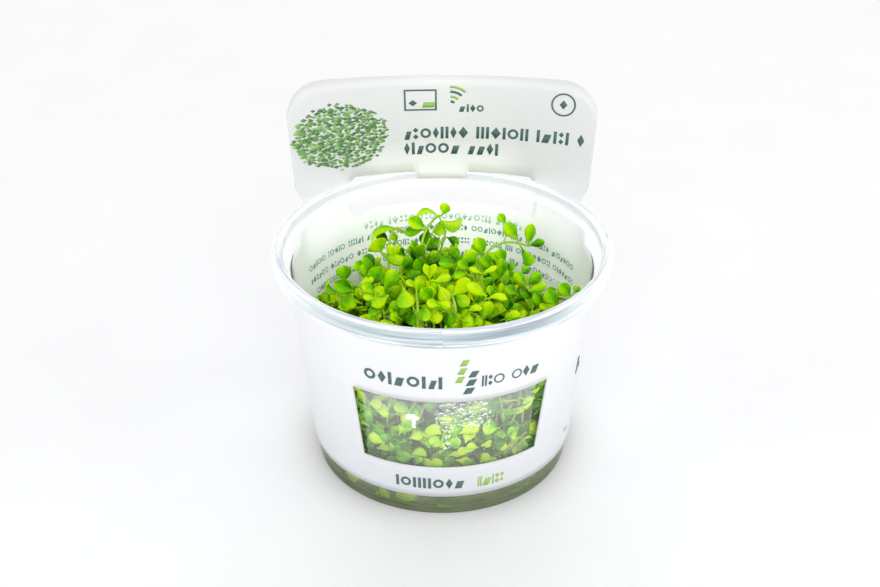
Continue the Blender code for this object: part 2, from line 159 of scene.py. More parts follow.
# Growth
GEL_TOP = 6.6 * MM
MENISCUS = 0.5 * MM
MENISCUS_WIDTH = 2.0 * MM
GEL_GAP = 1.3 * GAP  # from the gel's side to the wall
CARPET_RIM = 43.5 * MM
CARPET_CROWN = 10.0 * MM
CARPET_LUMPS = 0.8 * MM
CROWN_BACK = 13.0 * MM
CROWN_SPREAD = 13.0 * MM
LUMP_RATE = 0.25 / MM
STEM_RADIUS = 0.5 * MM
SPRAY_STEM = 0.36 * MM
STEM_TIP = 0.7  # a stem's radius at its tip, as a share of that at its start
STEM_SEAT = 0.5 * MM

# A leaf is a closed shape of rings from its foot to its tip. Each ring runs over the
# upper face from one edge to the other and back over the lower face.
LEAF_RINGS = np.array((0.02, 0.09, 0.16, 0.24, 0.33, 0.43, 0.54, 0.65, 0.75, 0.84, 0.91,
                       0.96, 0.99))
LEAF_PARTS = 6
LEAF_ROUND = 0.55
LEAF_THICKNESS = 0.36 * MM
PETIOLE = 0.12
PETIOLE_HALF = 0.30 * MM
PETIOLE_CLIMB = 0.9
WALL_GAP = 0.15 * MM  # from the wall to the nearest point of a leaf
PRESS_DEPTH = 0.35 * MM  # the layer that the points past the wall are pressed into
LOOSE_PIXELS = 4.0  # a leaf farther than this from its stem stands nearer the canopy

# A leaf's cup, fold, curl in radians, and how far along it is widest
FORMS = {
    "flat": (0.08, 0.0, 0.2, 1.35),
    "bowl": (0.4, 0.0, -0.5, 1.2),
    "dome": (-0.22, 0.0, 0.6, 1.3),
    "ridge": (0.0, -0.45, 0.3, 1.5),
    "trough": (0.05, 0.55, -0.2, 1.5),
    "arch": (-0.1, 0.0, 1.9, 1.4),
    "hook": (-0.1, 0.0, 2.5, 1.5),
    "ring": (0.1, 0.0, -2.9, 1.3),
    "fan": (0.1, 0.1, 0.2, 2.0),
    "spoon": (0.15, 0.1, 0.5, 2.4),
}

# Each shoot of the model: its stem and its leaves. The stem is where it leaves the carpet,
# the two handles of its curve and its tip, in millimetres. A leaf is its foot and its tip
# in pixels of the main view, its width in millimetres and how bright it is, and then,
# where they aren't "flat", 0 and 0, its form, how far its tip comes forward in
# millimetres, and a roll in degrees from facing the viewer towards facing up.
SHOOTS = {
    "tall_shoot": (
        ((-6.2, 13), (-7.2, 17.5, 58), (-6.5, 20.5, 64.5), (-0.8, 23.5, 66.8)),
        (442.5, 215, 447, 203.3, 3.6, 0.7, "flat", 0, 8),
        (438, 216.5, 416.5, 217.5, 3.8, 0.68, "hook", 0, 58),
        (439.5, 217.5, 462, 219.5, 6.8, 0.72, "ring", 1, 54),
        (427, 229, 407.5, 219.5, 5, 0.64, "trough", 1, 12),
        (440, 221, 439, 236, 4.4, 0.7, "dome", 2, 15),
        (429, 229, 424.5, 245, 4.7, 0.22, "flat", 1, 10),
        (446, 237, 459, 243.5, 3.3, 0.2, "flat", 0, 30),
        (440, 238, 433, 244, 2.8, 0.4, "flat", 0, 20),
    ),
    "left_shoot": (
        ((-16.5, 12), (-16.5, 15.5, 58), (-17, 20, 69.5), (-11.5, 20, 62.5)),
        (402, 233, 371.5, 242, 4.6, 0.6, "hook", 0.5, 54),
        (382, 254, 374.5, 239.5, 6.6, 0.72, "fan", 3, 6),
        (393, 257, 388, 245, 2.2, 0.95),
        (393, 256, 398.5, 245.5, 2.4, 0.8),
        (382, 253, 405.5, 262.5, 4.8, 0.8, "dome", 2, 14),
    ),
    "right_shoot": (
        ((10.5, 10.5), (11.5, 12, 60), (16, 16, 64.5), (26.7, 20, 58)),
        (528, 245, 531.5, 223.5, 3.6, 0.6),
        (529, 246, 544.5, 241.5, 2.9, 0.25, "flat", -1, 20),
        (518, 240, 505, 223, 4.3, 0.6),
        (519, 243, 531.5, 265, 4, 0.5, "spoon", 1),
        (506, 224, 498.5, 214, 2.8, 0.6),
        (484, 255, 477, 237.5, 4.3, 0.6),
        (485, 255, 471, 246, 3.4, 0.45, "flat", 0, 10),
    ),
    "wall_shoot": (
        ((-31, 7.5), (-31.4, 8.2, 47), (-31.5, 11, 48.5), (-30.3, 12, 49.4)),
        (345, 282, 343, 265.5, 5.2, 0.45, "dome"),
        (354, 291, 334, 283, 5.2, 0.4, "bowl", 1),
        (342, 293, 330, 280.5, 4.4, 0.5, "ring", 1, 55),
        (353, 294, 347, 309, 5, 0.6, "flat", 1),
    ),
    "middle_shoot": (
        ((4, -3.5), (4, -2.5, 50), (3.4, -1, 51.5), (2.7, 0, 52.6)),
        (453, 296, 469.5, 279, 4.8, 1, "flat", 1),
        (438, 284, 448, 302, 5, 0.95, "ridge", 4),
        (455, 293, 468.5, 306, 4.4, 0.65, "flat", 2),
        (433, 307, 438, 323.5, 4.6, 0.9, "dome", 4.5),
    ),
    "front_shoot": (
        ((-7.2, -7), (-7.2, -5.5, 51), (-7.5, -3.5, 55.5), (-7.8, -2, 59.5)),
        (415, 287, 406.5, 280.5, 2.2, 0.8),
        (417, 292, 418, 279.5, 2.2, 0.7, "trough"),
        (432, 302, 421.5, 288.5, 4.6, 0.5, "flat", 3),
        (402.5, 286, 407, 308, 6.4, 0.7, "fan", 4.5),
        (425, 305, 424, 321.5, 4.8, 0.55, "flat", 4),
    ),
}

# Sprays of leaves that stand above the carpet: each has its stem, from its tip down, in
# pixels of the main view, and its leaves, as above.
SPRAYS = {
    "back_low": (
        ((410, 246), (414, 256), (420, 268)),
        (405, 256, 398, 249, 2.6, 0.25),
        (409, 250, 423, 262, 5, 0.22, "dome"),
        (424, 266, 442, 257.5, 5.4, 0.14, "dome"),
        (424, 249, 438, 246.5, 3.2, 0.12),
        (412, 257, 409, 246, 3, 0.4, "trough"),
        (416, 270, 404, 262, 4, 0.2),
    ),
    "back_middle": (
        ((466, 250), (466, 260), (466, 272)),
        (456, 264, 440.5, 258.5, 3.8, 0.42),
        (462, 256, 476, 262.5, 4.4, 0.22, "dome"),
        (480, 268, 490, 256, 4, 0.25),
        (488, 270, 494, 259, 3.6, 0.35, "bowl"),
        (446, 253, 460, 258, 4, 0.3, "bowl"),
    ),
    "tall_twin": (
        ((446, 231), (444, 240), (440, 252)),
        (424, 230, 404.5, 232.5, 3.4, 0.42, "flat", -1, 10),
        (389, 241, 376.5, 233.5, 3.4, 0),
        (397, 243, 392.5, 232, 2.6, 0.8, "trough", 3),
        (448, 250, 458, 245, 2.6, 0.5, "flat", 0, 20),
        (450, 260, 457, 247, 4.4, 0.52, "bowl"),
        (418, 252, 411, 241, 3.2, 0.55, "trough"),
        (420, 263, 436.5, 252, 3, 0.62, "ridge", 5, 20),
        (415, 258, 424.5, 244, 4.4, 0.5, "trough", 9),
        (424, 274, 417, 259, 4.8, 0.3, "dome", 8),
    ),
    "behind_left": (
        ((399, 266), (401, 273), (403, 281)),
        (403, 281, 421, 272, 4.2, 0.3),
        (402, 270, 412, 258, 3.6, 0.25),
    ),
    "left_cluster": (
        ((377, 291), (380, 300), (384, 314)),
        (364, 270, 354.5, 263, 3.8, 0.5),
        (376, 267, 363, 256.5, 4.6, 0.32, "dome"),
        (368, 286, 381, 267, 5.2, 0.36, "bowl"),
        (368, 279, 363.5, 264, 4.6, 0.4, "ridge"),
        (384, 290, 396, 270, 5, 0.52),
        (359, 285, 373.5, 278, 2.7, 0.8),
        (377, 294, 361.5, 285, 3.6, 0.6, "trough", 0, 20),
        (375, 298, 382.5, 286.5, 3.6, 0.85, "bowl", 1),
        (375, 298, 363, 296.5, 2.4, 0.95, "flat", 1),
        (389, 295, 372, 306, 4.8, 0.75, "dome", 2),
        (385, 306, 368.5, 313.5, 3.6, 0.35, "flat", 1, 15),
        (387, 312, 399.5, 302.5, 3.4, 0.5),
        (398, 323, 391.5, 313.5, 2.6, 0.7),
    ),
    "tulip": (
        ((429.5, 277), (430, 284), (430, 296)),
        (429, 278, 424.5, 264, 2.9, 0.95, "trough", 0, 10),
        (430, 278, 435.5, 264, 2.9, 0.95, "trough", 0, 10),
        (433, 282, 450.5, 276, 2.8, 0.85),
        (430, 280, 433, 290, 3.8, 0.75, "flat", 1),
        (431, 294, 426.5, 281, 1.4, 1.1, "flat", 3),
        (421, 292, 420.8, 280, 1.2, 1, "flat", 3),
        (459, 265, 438.5, 262.5, 3.4, 0.45, "dome"),
    ),
    "middle_low": (
        ((438, 302), (436, 310), (434, 325)),
        (440, 306, 426.5, 302, 3.1, 0.8, "flat", 1, 10),
        (438, 303, 450.5, 306.5, 3, 0.8, "flat", 1, 10),
        (414, 309, 410.5, 325, 3.6, 0.3, "flat", 1),
        (447, 310, 450, 326, 4, 0.35, "dome", 1),
    ),
    "centre_right": (
        ((486, 296), (484, 306), (482, 322)),
        (487, 296, 466.5, 284.5, 4, 0.85, "dome", 1),
        (467, 313, 482.5, 309, 3.2, 0.8, "arch", 1, 50),
        (484, 318, 491, 301.5, 4.1, 0.75, "dome", 1),
        (469, 312, 467, 329, 4.4, 0.8, "dome", 2),
        (477, 316, 479.5, 326, 2.8, 0.7, "flat", 1),
        (488, 299, 507, 299.5, 3.4, 0.9, "arch", 1, 45),
        (491, 297, 489.5, 285.5, 2.4, 0.55),
    ),
    "thin_pair": (
        ((482, 272), (482, 284), (480, 298)),
        (481, 273, 469.5, 268, 1.8, 0.95),
        (483, 274, 497, 266.5, 2.1, 0.9, "flat", 0, 30),
        (485, 288, 492, 277.5, 3.2, 0.3, "flat", -1),
    ),
    "stout_stem": (
        ((469, 269), (473, 276), (477, 287)),
        (469, 269, 458.5, 261.5, 3.4, 0.55),
        (461, 265, 475, 250.5, 3.7, 0.6),
        (467, 274, 453.5, 277.5, 3.2, 0.55, "arch", 2, 30),
    ),
    "back_right": (
        ((498, 262), (500, 270), (502, 283)),
        (485, 252, 498.5, 260, 3.5, 0.75, "trough", 0, 20),
        (492, 268, 481, 257.5, 3.8, 0.45, "dome", 3),
        (504, 263, 499, 249, 3.8, 0.5),
        (500, 280, 502, 258, 3.8, 0.45, "dome"),
        (507, 262, 514, 269.5, 2.6, 0.4),
        (501, 294, 501.5, 283, 2.1, 0.8),
        (519, 294, 505.5, 287.5, 3.2, 0.5),
    ),
    "low_right": (
        ((508, 310), (507, 316), (506, 328)),
        (508, 312, 508.5, 299, 3.4, 0.15, "dome", 1),
        (505, 319, 520.5, 314.5, 3.2, 0.75, "arch", 1, 35),
    ),
    "side_right": (
        ((527, 286), (530, 294), (533, 306)),
        (534, 298, 520.5, 291.5, 3.2, 0.2, "dome", 1),
        (527, 287, 515, 272, 3.4, 0.6, "ridge"),
        (527, 285, 541, 273.5, 3.6, 0.4),
        (528, 292, 546.5, 284, 3.2, 0.7),
        (530, 279, 540.5, 283.5, 3.6, 0.38, "dome", -1),
        (521, 274, 528.5, 267.5, 2.8, 0.35, "flat", -1),
        (534, 302, 548, 297, 3.6, 0.3, "dome"),
        (543, 307, 534.5, 293, 3.6, 0.4),
        (549, 310, 539.5, 304.5, 2.2, 0.8),
    ),
    "far_right": (
        ((556, 302), (555, 308), (552, 318)),
        (556, 306, 547, 291, 4.8, 0.5, "flat", 1),
        (571, 297, 559.5, 284, 4.3, 0.5),
        (556, 298, 548, 288, 3.4, 0.42, "flat", -1),
        (574, 293, 578.5, 286, 2.4, 0.5),
    ),
}

# The canopy's depth, in millimetres, at rows of the main view
CANOPY_ROWS = (200, 240, 255, 271, 290, 308, 327)
CANOPY_DEPTHS = (26.0, 24.0, 16.0, 9.0, 2.5, -4.0, -10.0)

# Gaps among the leaves, in pixels of the main view: middle and radius
CLEARINGS = ((385, 261, 2.5), (389, 264.5, 3.0), (394, 269, 3.0), (355, 274, 3.5),
             (357, 280, 3.0), (415, 266, 2.0), (551, 281, 3.0))
CLEARING_SEARCH = 40.0

# The carpet's own shoots. A node is a leaf pair: its depth below the shoot's tip and its
# length, in millimetres, and its climb in degrees.
SHOOT_SPACING = 5.6 * MM
ROW_SPACING = 0.866 * SHOOT_SPACING  # of a hexagonal grid
SHOOT_STEPS = 12
NODES = ((0.4, 4.0, 62), (2.6, 5.6, 38), (6.0, 6.6, 20), (10.5, 6.6, 6), (15.5, 6.2, -4),
         (20.5, 5.8, -10), (25.5, 5.4, -12), (30.5, 5.2, -14))
DEEPEST_LEAF = 17.0
WINDOW_VIEW = math.radians(58)

# The model's clumps that each quarter of the carpet's leaves stands for
CLUMPS = (
    ("carpet_back_left", "carpet_left"),
    ("carpet_front", "carpet_middle"),
    ("carpet_front_right", "carpet_right"),
    ("carpet_back",),
)

# Leaves pressed to the wall: how many, angles in degrees from the front, heights, shades,
# lengths and depths behind the wall, in millimetres. SUNKEN_LEAVES are the angles and
# heights of more pairs, low in the gel.
FLAT_DEPTHS = (0.6, 2.2)
WINDOW_LEAVES = (
    (90, (-46, 54), (10, 46), (0.2, 0.65), (4.6, 6.6), (2.5, 5.0)),
    (80, (-46, 54), (26, 46), (0.3, 1.0), (4.2, 6.2), FLAT_DEPTHS),
    (90, (-46, 54), (12, 27), (0.2, 1.0), (3.4, 5.4), FLAT_DEPTHS),
)
DEEP_LEAVES = (24, (-180, 180), (2.0, 5.5), (0.0, 0.5), (3.6, 5.6), (0.2, 1.2))
SUNKEN_LEAVES = ((-39.5, 5.0), (-29, 2.5), (-16, 5.0), (-12, 4.0), (46.5, 4.6))

# Water on the wall: angles from the front, heights and radii in millimetres, how many
# beads are tried, and how much of each is a painted white highlight
DROP_LIFT = 0.05 * MM
DROP_HEIGHT = 0.55
DROP_SIDES = 10
DROP_RISES = (0.0, 0.35, 0.65, 0.88, 0.98)
DEW = (
    ((-1, 17), (33, 44.5), (0.4, 1.05), 300, 0.0),
    ((-3, 19), (32, 45), (0.12, 0.32), 260, 0.6),
    ((-13.8, -9.4), (36.0, 37.6), (0.3, 0.5), 44, 1.0),
    ((-11.8, -10.7), (33.0, 36.0), (0.25, 0.42), 16, 1.0),
    ((0, 3), (25, 33), (0.12, 0.3), 24, 0.7),
    ((-25, 36), (22, 45), (0.1, 0.25), 60, 0.5),
    ((114, 131), (34, 45), (0.12, 0.32), 360, 0.3),
    ((104, 140), (34, 48), (0.08, 0.2), 120, 0.3),
)

# Roots: angles, heights and how many. Bare stems: angle and height of both ends.
ROOT_PLACES = (((27, 36), (17, 23), 9), ((-30, 34), (12, 20), 16), ((-150, 150), (10, 22), 14))
BARE_STEMS = (((-8, 45), (-17, 33)), ((-5, 45), (-13, 28)), ((-20, 44), (-24, 30)),
              ((22, 45), (27, 30)), ((2, 34), (-3, 20)), ((33, 44), (30, 27)))

# Sight lines of the main view
VIEW_TILT = math.radians(CAMERA_TILT)
VIEW_FROM = Vector(CAMERA_PLACE)
VIEW_AHEAD = Vector((0.0, math.sin(VIEW_TILT), -math.cos(VIEW_TILT)))
VIEW_UP = Vector((0.0, math.cos(VIEW_TILT), math.sin(VIEW_TILT)))
VIEW_FOCUS = PICTURE[0] * CAMERA_LENS / CAMERA_SENSOR


def smooth_step(low, high, value):
    share = min(max((value - low) / (high - low), 0.0), 1.0)
    return share * share * (3.0 - 2.0 * share)


def blend(low, high, share):
    return low + (high - low) * share


def refined(values, step):
    """The same rising values with evenly spaced ones put between them."""
    fine = [values[0]]
    for low, high in zip(values, values[1:]):
        count = max(1, math.ceil((high - low) / step - 0.01))
        fine += [blend(low, high, (i + 1) / count) for i in range(count)]
    return fine


# ---------------------------------------------------------------- materials


class Value:
    """What a shader node gives out. Arithmetic on it adds Math nodes.

    before puts the other operand first.
    """

    def __init__(self, socket):
        self.socket = socket

    def maths(self, kind, other=0.0, before=False):
        inputs = {0: other, 1: self} if before else {0: self, 1: other}
        return Value(node(self.socket.id_data, "Math", inputs, operation=kind).outputs[0])

    __add__ = partialmethod(maths, "ADD")
    __sub__ = partialmethod(maths, "SUBTRACT")
    __rsub__ = partialmethod(maths, "SUBTRACT", before=True)
    __mul__ = partialmethod(maths, "MULTIPLY")
    __truediv__ = partialmethod(maths, "DIVIDE")
    __abs__ = partialmethod(maths, "ABSOLUTE")
    at_most = partialmethod(maths, "MINIMUM")
    at_least = partialmethod(maths, "MAXIMUM")


def colour(tone):
    """A grey from one number, or a colour from its red, green and blue."""
    return (*tone, 1.0) if isinstance(tone, tuple) else (tone, tone, tone, 1.0)


def fill(tree, made, inputs):
    """Sets a node's inputs to numbers, tones or the values of other nodes."""
    for key, value in inputs.items():
        socket = made.inputs[key]
        if isinstance(value, Value):
            tree.links.new(value.socket, socket)
        elif socket.type == "RGBA":
            socket.default_value = colour(value)
        else:
            socket.default_value = value


def node(tree, kind, inputs, **settings):
    made = tree.nodes.new("ShaderNode" + kind)
    for key, value in settings.items():
        setattr(made, key, value)
    fill(tree, made, inputs)
    return made


class Stuff:
    """A material in the making: its Principled shader, and the nodes that feed it."""

    def __init__(self, name, inputs):
        self.made = bpy.data.materials.new(name)
        self.made.use_nodes = True
        self.tree = self.made.node_tree
        self.shader = self.tree.nodes["Principled BSDF"]
        self.feed(inputs)

    def feed(self, inputs):
        fill(self.tree, self.shader, inputs)

    def value(self, kind, inputs, output, **settings):
        return Value(node(self.tree, kind, inputs, **settings).outputs[output])

    def parts(self, vector):
        """A vector's x, y and z."""
        return [Value(v) for v in node(self.tree, "SeparateXYZ", {0: vector}).outputs]

    def place(self):
        return self.parts(self.value("TexCoord", {}, "Object"))

    def noise(self, scale, detail=3.0, rough=0.5, vector=None):
        vector = vector or self.value("TexCoord", {}, "Object")
        inputs = {"Vector": vector, "Scale": scale, "Detail": detail, "Roughness": rough}
        return self.value("TexNoise", inputs, "Fac")

    def ramp(self, factor, *stops):
        """A colour ramp from (place, tone) stops."""
        made = node(self.tree, "ValToRGB", {"Fac": factor})
        marks = made.color_ramp.elements
        while len(marks) < len(stops):
            marks.new(1.0)
        for mark, (place, tone) in zip(marks, stops):
            mark.position = place
            mark.color = colour(tone)
        return Value(made.outputs["Color"])

    def mix(self, factor, first, second, mode="MIX"):
        inputs = {0: factor, 6: first, 7: second}
        return self.value("Mix", inputs, 2, data_type="RGBA", blend_type=mode)

    def times(self, first, second):
        return self.mix(1.0, first, second, "MULTIPLY")

    def wash(self, tone):
        """Multiplies the colour that the shader has so far."""
        body = Value(self.shader.inputs["Base Color"].links[0].from_socket)
        self.feed({"Base Color": self.times(body, tone)})

    def bump(self, height, distance, strength=1.0):
        inputs = {"Height": height, "Distance": distance * MM, "Strength": strength}
        self.feed({"Normal": self.value("Bump", inputs, "Normal")})

    def let_lamps_through(self, tone):
        """Shadow rays pass a clear piece, so that what stands inside it is lit."""
        open_air = self.value("BsdfTransparent", {"Color": tone}, 0)
        shadow = self.value("LightPath", {}, "Is Shadow Ray")
        inputs = {0: shadow, 1: Value(self.shader.outputs[0]), 2: open_air}
        both = self.value("MixShader", inputs, 0)
        fill(self.tree, self.tree.nodes["Material Output"], {"Surface": both})

    def flow(self, around, outwards, upwards, detail):
        """The distance from the axis, and noise that is drawn out along the rim."""
        x, y, z = self.place()
        across = (x.maths("POWER", 2.0) + y.maths("POWER", 2.0)).maths("POWER", 0.5)
        turn = x.maths("ARCTAN2", y) * around
        vector = self.value("CombineXYZ", {0: turn, 1: across * outwards, 2: z * upwards}, 0)
        return across, self.noise(1.0, detail, 0.6, vector)

    def line(self, across, radius, *stops):
        """A ramp over the distance from a circle about the axis, in millimetres."""
        return self.ramp(abs(across - radius) * (1.0 / MM), *stops)


def clear_plastic(name="clear_plastic"):
    """Injection-moulded polypropylene: clear, with a faint haze of flow, fine scuffs and a faint
    painted glow.
    """
    # The small emission is a painted glow.
    stuff = Stuff(name, {"Base Color": (0.99, 1.0, 0.995), "Transmission Weight": 0.985,
                         "IOR": 1.05, "Emission Color": 1.0, "Emission Strength": 0.012})
    scuffs = stuff.ramp(stuff.noise(900.0, 4.0), (0.45, 0.01), (0.75, 0.05))
    stuff.feed({"Roughness": scuffs})
    stuff.bump(stuff.noise(120.0, 2.0), 0.02, 0.5)
    stuff.let_lamps_through((0.985, 0.99, 0.99))
    return stuff


def fogged_plastic():
    """The wall behind the window: a film of fine water, denser and greyer towards its top."""
    stuff = clear_plastic("fogged_plastic")
    share = (stuff.place()[2] - WINDOW_BOTTOM) / (WINDOW_TOP - WINDOW_BOTTOM)
    tone = stuff.ramp(share, (0.05, (0.75, 0.77, 0.74)), (0.40, (0.92, 0.97, 0.86)),
                      (0.70, (0.93, 0.95, 0.91)), (1.0, (0.81, 0.79, 0.88)))
    clear = stuff.ramp(share, (0.55, 0.89), (1.0, 0.78))
    stuff.feed({"Base Color": tone, "Transmission Weight": clear})
    return stuff


def wet_plastic():
    """The foot of the wall, wet on its inside with gel, and so as green as the gel, with a
    painted highlight along the gel's top.
    """
    stuff = Stuff("wet_plastic", {"Transmission Weight": 0.82, "IOR": 1.1, "Roughness": 0.05})
    # A painted highlight: a thin white line where the gel's top meets the wall.
    line = (GEL_TOP - 0.6 * MM) / SLEEVE_BOTTOM
    tone = stuff.ramp(stuff.place()[2] * (1.0 / SLEEVE_BOTTOM), (0.05, (0.40, 0.45, 0.30)),
                      (0.5, (0.62, 0.66, 0.50)), (line - 0.03, (0.66, 0.71, 0.55)),
                      (line, 1.0), (line + 0.03, (0.68, 0.74, 0.58)))
    cloud = stuff.noise(110.0, 4.0, 0.6)
    shade = stuff.ramp(cloud, (0.3, (0.75, 0.8, 0.7)), (0.7, 1.0))
    stuff.feed({"Base Color": stuff.times(tone, shade)})
    stuff.bump(cloud, 0.02, 0.5)
    stuff.let_lamps_through((0.9, 0.95, 0.85))
    return stuff


def rim_plastic():
    """The same plastic where the rim is thick: milkier, streaked along the way it flowed, painted
    with reflection and glow.
    """
    stuff = Stuff("rim_plastic", {"IOR": 1.1, "Emission Color": 1.0})
    across, streak = stuff.flow(1.3, 500.0, 900.0, 4.0)
    # The streaks are partly flow lines, partly painted reflection, grey-blue, and painted
    # highlight, white.
    tone = stuff.ramp(streak, (0.34, (0.37, 0.43, 0.50)), (0.50, (0.66, 0.75, 0.78)),
                      (0.64, (0.97, 1.0, 1.0)))
    # front keeps the painted streaks to the front; behind it the rim is white, with a painted
    # glow.
    front = stuff.ramp(stuff.place()[1] * (-1.0 / RIM_RADIUS), (0.35, 0.15), (0.98, 1.0))
    # A painted dark hairline at the collar's radius, in place of an edge seen through the
    # plastic.
    line = stuff.line(across, COLLAR_RADIUS + GAP, (0.1, (0.45, 0.46, 0.48)), (0.2, 1.0))
    stuff.feed({"Base Color": stuff.mix(front, line, tone),
                "Transmission Weight": stuff.mix(front, 0.86, 0.4),
                "Emission Strength": stuff.mix(front, 0.12, 0.0),
                "Roughness": stuff.ramp(streak, (0.35, 0.25), (0.65, 0.08))})
    stuff.bump(streak, 0.05, 0.6)
    stuff.let_lamps_through((0.97, 0.98, 0.98))
    return stuff


def lip_plastic():
    """The rounded edges of the rim, which catch the light at the front and look white."""
    # The small emission is a painted glow.
    stuff = Stuff("lip_plastic", {"IOR": 1.1, "Roughness": 0.12, "Emission Color": 1.0,
                                  "Emission Strength": 0.07})
    across, cloud = stuff.flow(2.4, 1400.0, 0.0, 3.0)
    y, z = stuff.place()[1:]
    front = stuff.ramp(y * (-1.0 / RIM_RADIUS), (0.0, 0.0), (0.45, 1.0))
    # Painted shadow under the skirt: the strip of wall just above the card is darker.
    painted_skirt_shadow = stuff.ramp((z - SLEEVE_TOP) * (0.5 / MM), (0.0, (0.55, 0.56, 0.55)), (0.6, 1.0))
    tone = stuff.ramp(cloud, (0.36, (0.62, 0.66, 0.76)), (0.56, 1.0))
    # A painted grey line, in place of an edge seen through the plastic.
    line = stuff.line(across, LIP_LINE, (0.1, (0.72, 0.75, 0.78)), (0.45, 1.0))
    stuff.feed({"Base Color": stuff.times(stuff.times(tone, line), painted_skirt_shadow),
                "Transmission Weight": stuff.mix(front, 0.86, 0.12)})
    stuff.bump(cloud, 0.02, 0.5)
    stuff.let_lamps_through((0.97, 0.98, 0.98))
    return stuff


def card_face(name, tone, roughness, coat):
    """Coated board: very fine fibres under a smooth varnish."""
    stuff = Stuff(name, {"Roughness": roughness, "Coat Weight": coat, "Coat Roughness": 0.2})
    fibres = stuff.noise(2600.0, 6.0, 0.7)
    fine = stuff.ramp(fibres, (0.3, (0.96, 0.96, 0.965)), (0.7, 1.0))
    soft = stuff.ramp(stuff.noise(60.0, 2.0), (0.3, (0.985, 0.985, 0.99)), (0.7, 1.0))
    stuff.feed({"Base Color": stuff.times(stuff.times(fine, soft), tone)})
    stuff.bump(fibres, 0.01, 0.35)
    return stuff


def outer_face():
    """The sleeve's outside: white, with painted shade that makes it a little cooler and greyer
    towards its foot.
    """
    stuff = card_face("card_outer", 1.0, 0.38, 0.3)
    # Painted shade: greyer towards the foot.
    stuff.wash(stuff.ramp(stuff.place()[2] * (1.0 / SLEEVE_TOP), (0.15, (0.79, 0.815, 0.845)),
                          (0.75, (0.95, 0.955, 0.965))))
    return stuff


def wall_face():
    """The sleeve's inside, with painted light for what comes through the card, least at its
    sides.
    """
    # The faintly green base tone is a painted green cast from the leaves.
    stuff = card_face("card_wall", (0.96, 0.975, 0.945), 0.5, 0.1)
    x, _, z = stuff.place()
    aside = abs(x) * (1.0 / RIM_RADIUS)
    height = z * (1.0 / CUP_HEIGHT)
    # Painted glow: middle is most at the middle of the wall, low is most low down.
    middle = stuff.ramp(aside, (0.1, 0.22), (0.65, 0.02))
    low = stuff.ramp(height, (0.62, 0.13), (0.8, 0.0))
    # A painted green cast from the leaves, strong low down, on both the colour and the glow.
    green = stuff.ramp(height, (0.42, (0.40, 0.62, 0.10)), (0.64, 1.0))
    # Painted shade towards the sides.
    stuff.wash(stuff.ramp(aside, (0.25, 1.0), (0.6, 0.85)))
    stuff.wash(green)
    stuff.feed({"Emission Color": stuff.times(green, (1.0, 0.99, 0.96)),
                "Emission Strength": middle + low})
    return stuff


def header_face():
    """The header's printed face: a soft grey wash of painted shade that deepens to its sides."""
    stuff = card_face("card_header", 1.0, 0.42, 0.2)
    x, _, z = stuff.place()
    share = abs(x) * (1.0 / LEG_OUTER)
    # Painted shade: greyer towards the sides.
    stuff.wash(stuff.ramp(share, (0.05, (0.96, 0.96, 0.95)), (0.55, 0.90),
                          (0.85, (0.88, 0.885, 0.89))))
    # A painted glow low in the middle of the face, just above the rim, lifts the shade there.
    rise = (z - CUP_HEIGHT) * (1.0 / HEADER_RISE)
    glow = stuff.ramp(rise, (0.02, (0.28, 0.27, 0.28)), (0.35, 0.0))
    inner = stuff.ramp(share, (0.4, 1.0), (0.62, 0.0))
    stuff.feed({"Emission Color": (1.0, 0.99, 0.97),
                "Emission Strength": stuff.times(glow, inner)})
    return stuff


def grained(name, inputs, grain, dark, light, relief=None, texture=None):
    """A material mottled between two tones. relief roughens it, by texture or by grain."""
    stuff = Stuff(name, inputs)
    mottle = stuff.noise(*grain)
    stuff.feed({"Base Color": stuff.ramp(mottle, (0.3, dark), (0.7, light))})
    if relief:
        stuff.bump(stuff.noise(*texture) if texture else mottle, *relief)
    return stuff


def card_edge():
    """The cut edge of the board, a little rougher and greyer."""
    return grained("card_edge", {"Roughness": 0.85}, (5200.0, 4.0, 0.8), (0.70, 0.69, 0.66),
                   (0.9, 0.9, 0.88), (0.03, 0.6))


def gel_material():
    """Set nutrient gel: cloudy grey-green."""
    stuff = grained("nutrient_gel", {"Roughness": 0.12, "Transmission Weight": 0.3, "IOR": 1.34},
                    (140.0, 4.0, 0.6), (0.11, 0.15, 0.055), (0.19, 0.25, 0.10), (0.08, 0.5),
                    (260.0, 3.0))
    stuff.let_lamps_through((0.45, 0.55, 0.35))
    return stuff


def stem_material():
    return grained("stem_green", {"Roughness": 0.4, "Subsurface Weight": 0.3,
                                  "Subsurface Scale": 0.5 * MM,
                                  "Subsurface Radius": (0.6, 1.0, 0.2)},
                   (420.0, 4.0, 0.6), (0.28, 0.52, 0.01), (0.55, 0.78, 0.06), (0.03, 0.5),
                   (1600.0, 3.0))


def root_material():
    return grained("pale_root", {"Roughness": 0.6}, (300.0, 4.0, 0.6), (0.42, 0.38, 0.20),
                   (0.72, 0.66, 0.45), (0.03, 0.5), (1800.0, 3.0))


def floor_material():
    """The white table that the cup stands on."""
    return grained("floor_white", {"Roughness": 0.7, "Specular IOR Level": 0.2}, (30.0, 3.0),
                   (0.955, 0.955, 0.96), (0.975, 0.975, 0.98))


def ink(name, tone, patchy=0.12):
    """Printed ink: flat, with the faint mottle that ink takes from the board."""
    stuff = Stuff(name, {"Roughness": 0.42, "Coat Weight": 0.2})
    mottle = stuff.noise(1500.0, 5.0, 0.7)
    lighter = tuple(min(1.0, v + patchy * (1.0 - v)) for v in tone)
    stuff.feed({"Base Color": stuff.mix(mottle, tone, lighter)})
    stuff.bump(mottle, 0.006, 0.3)
    return stuff


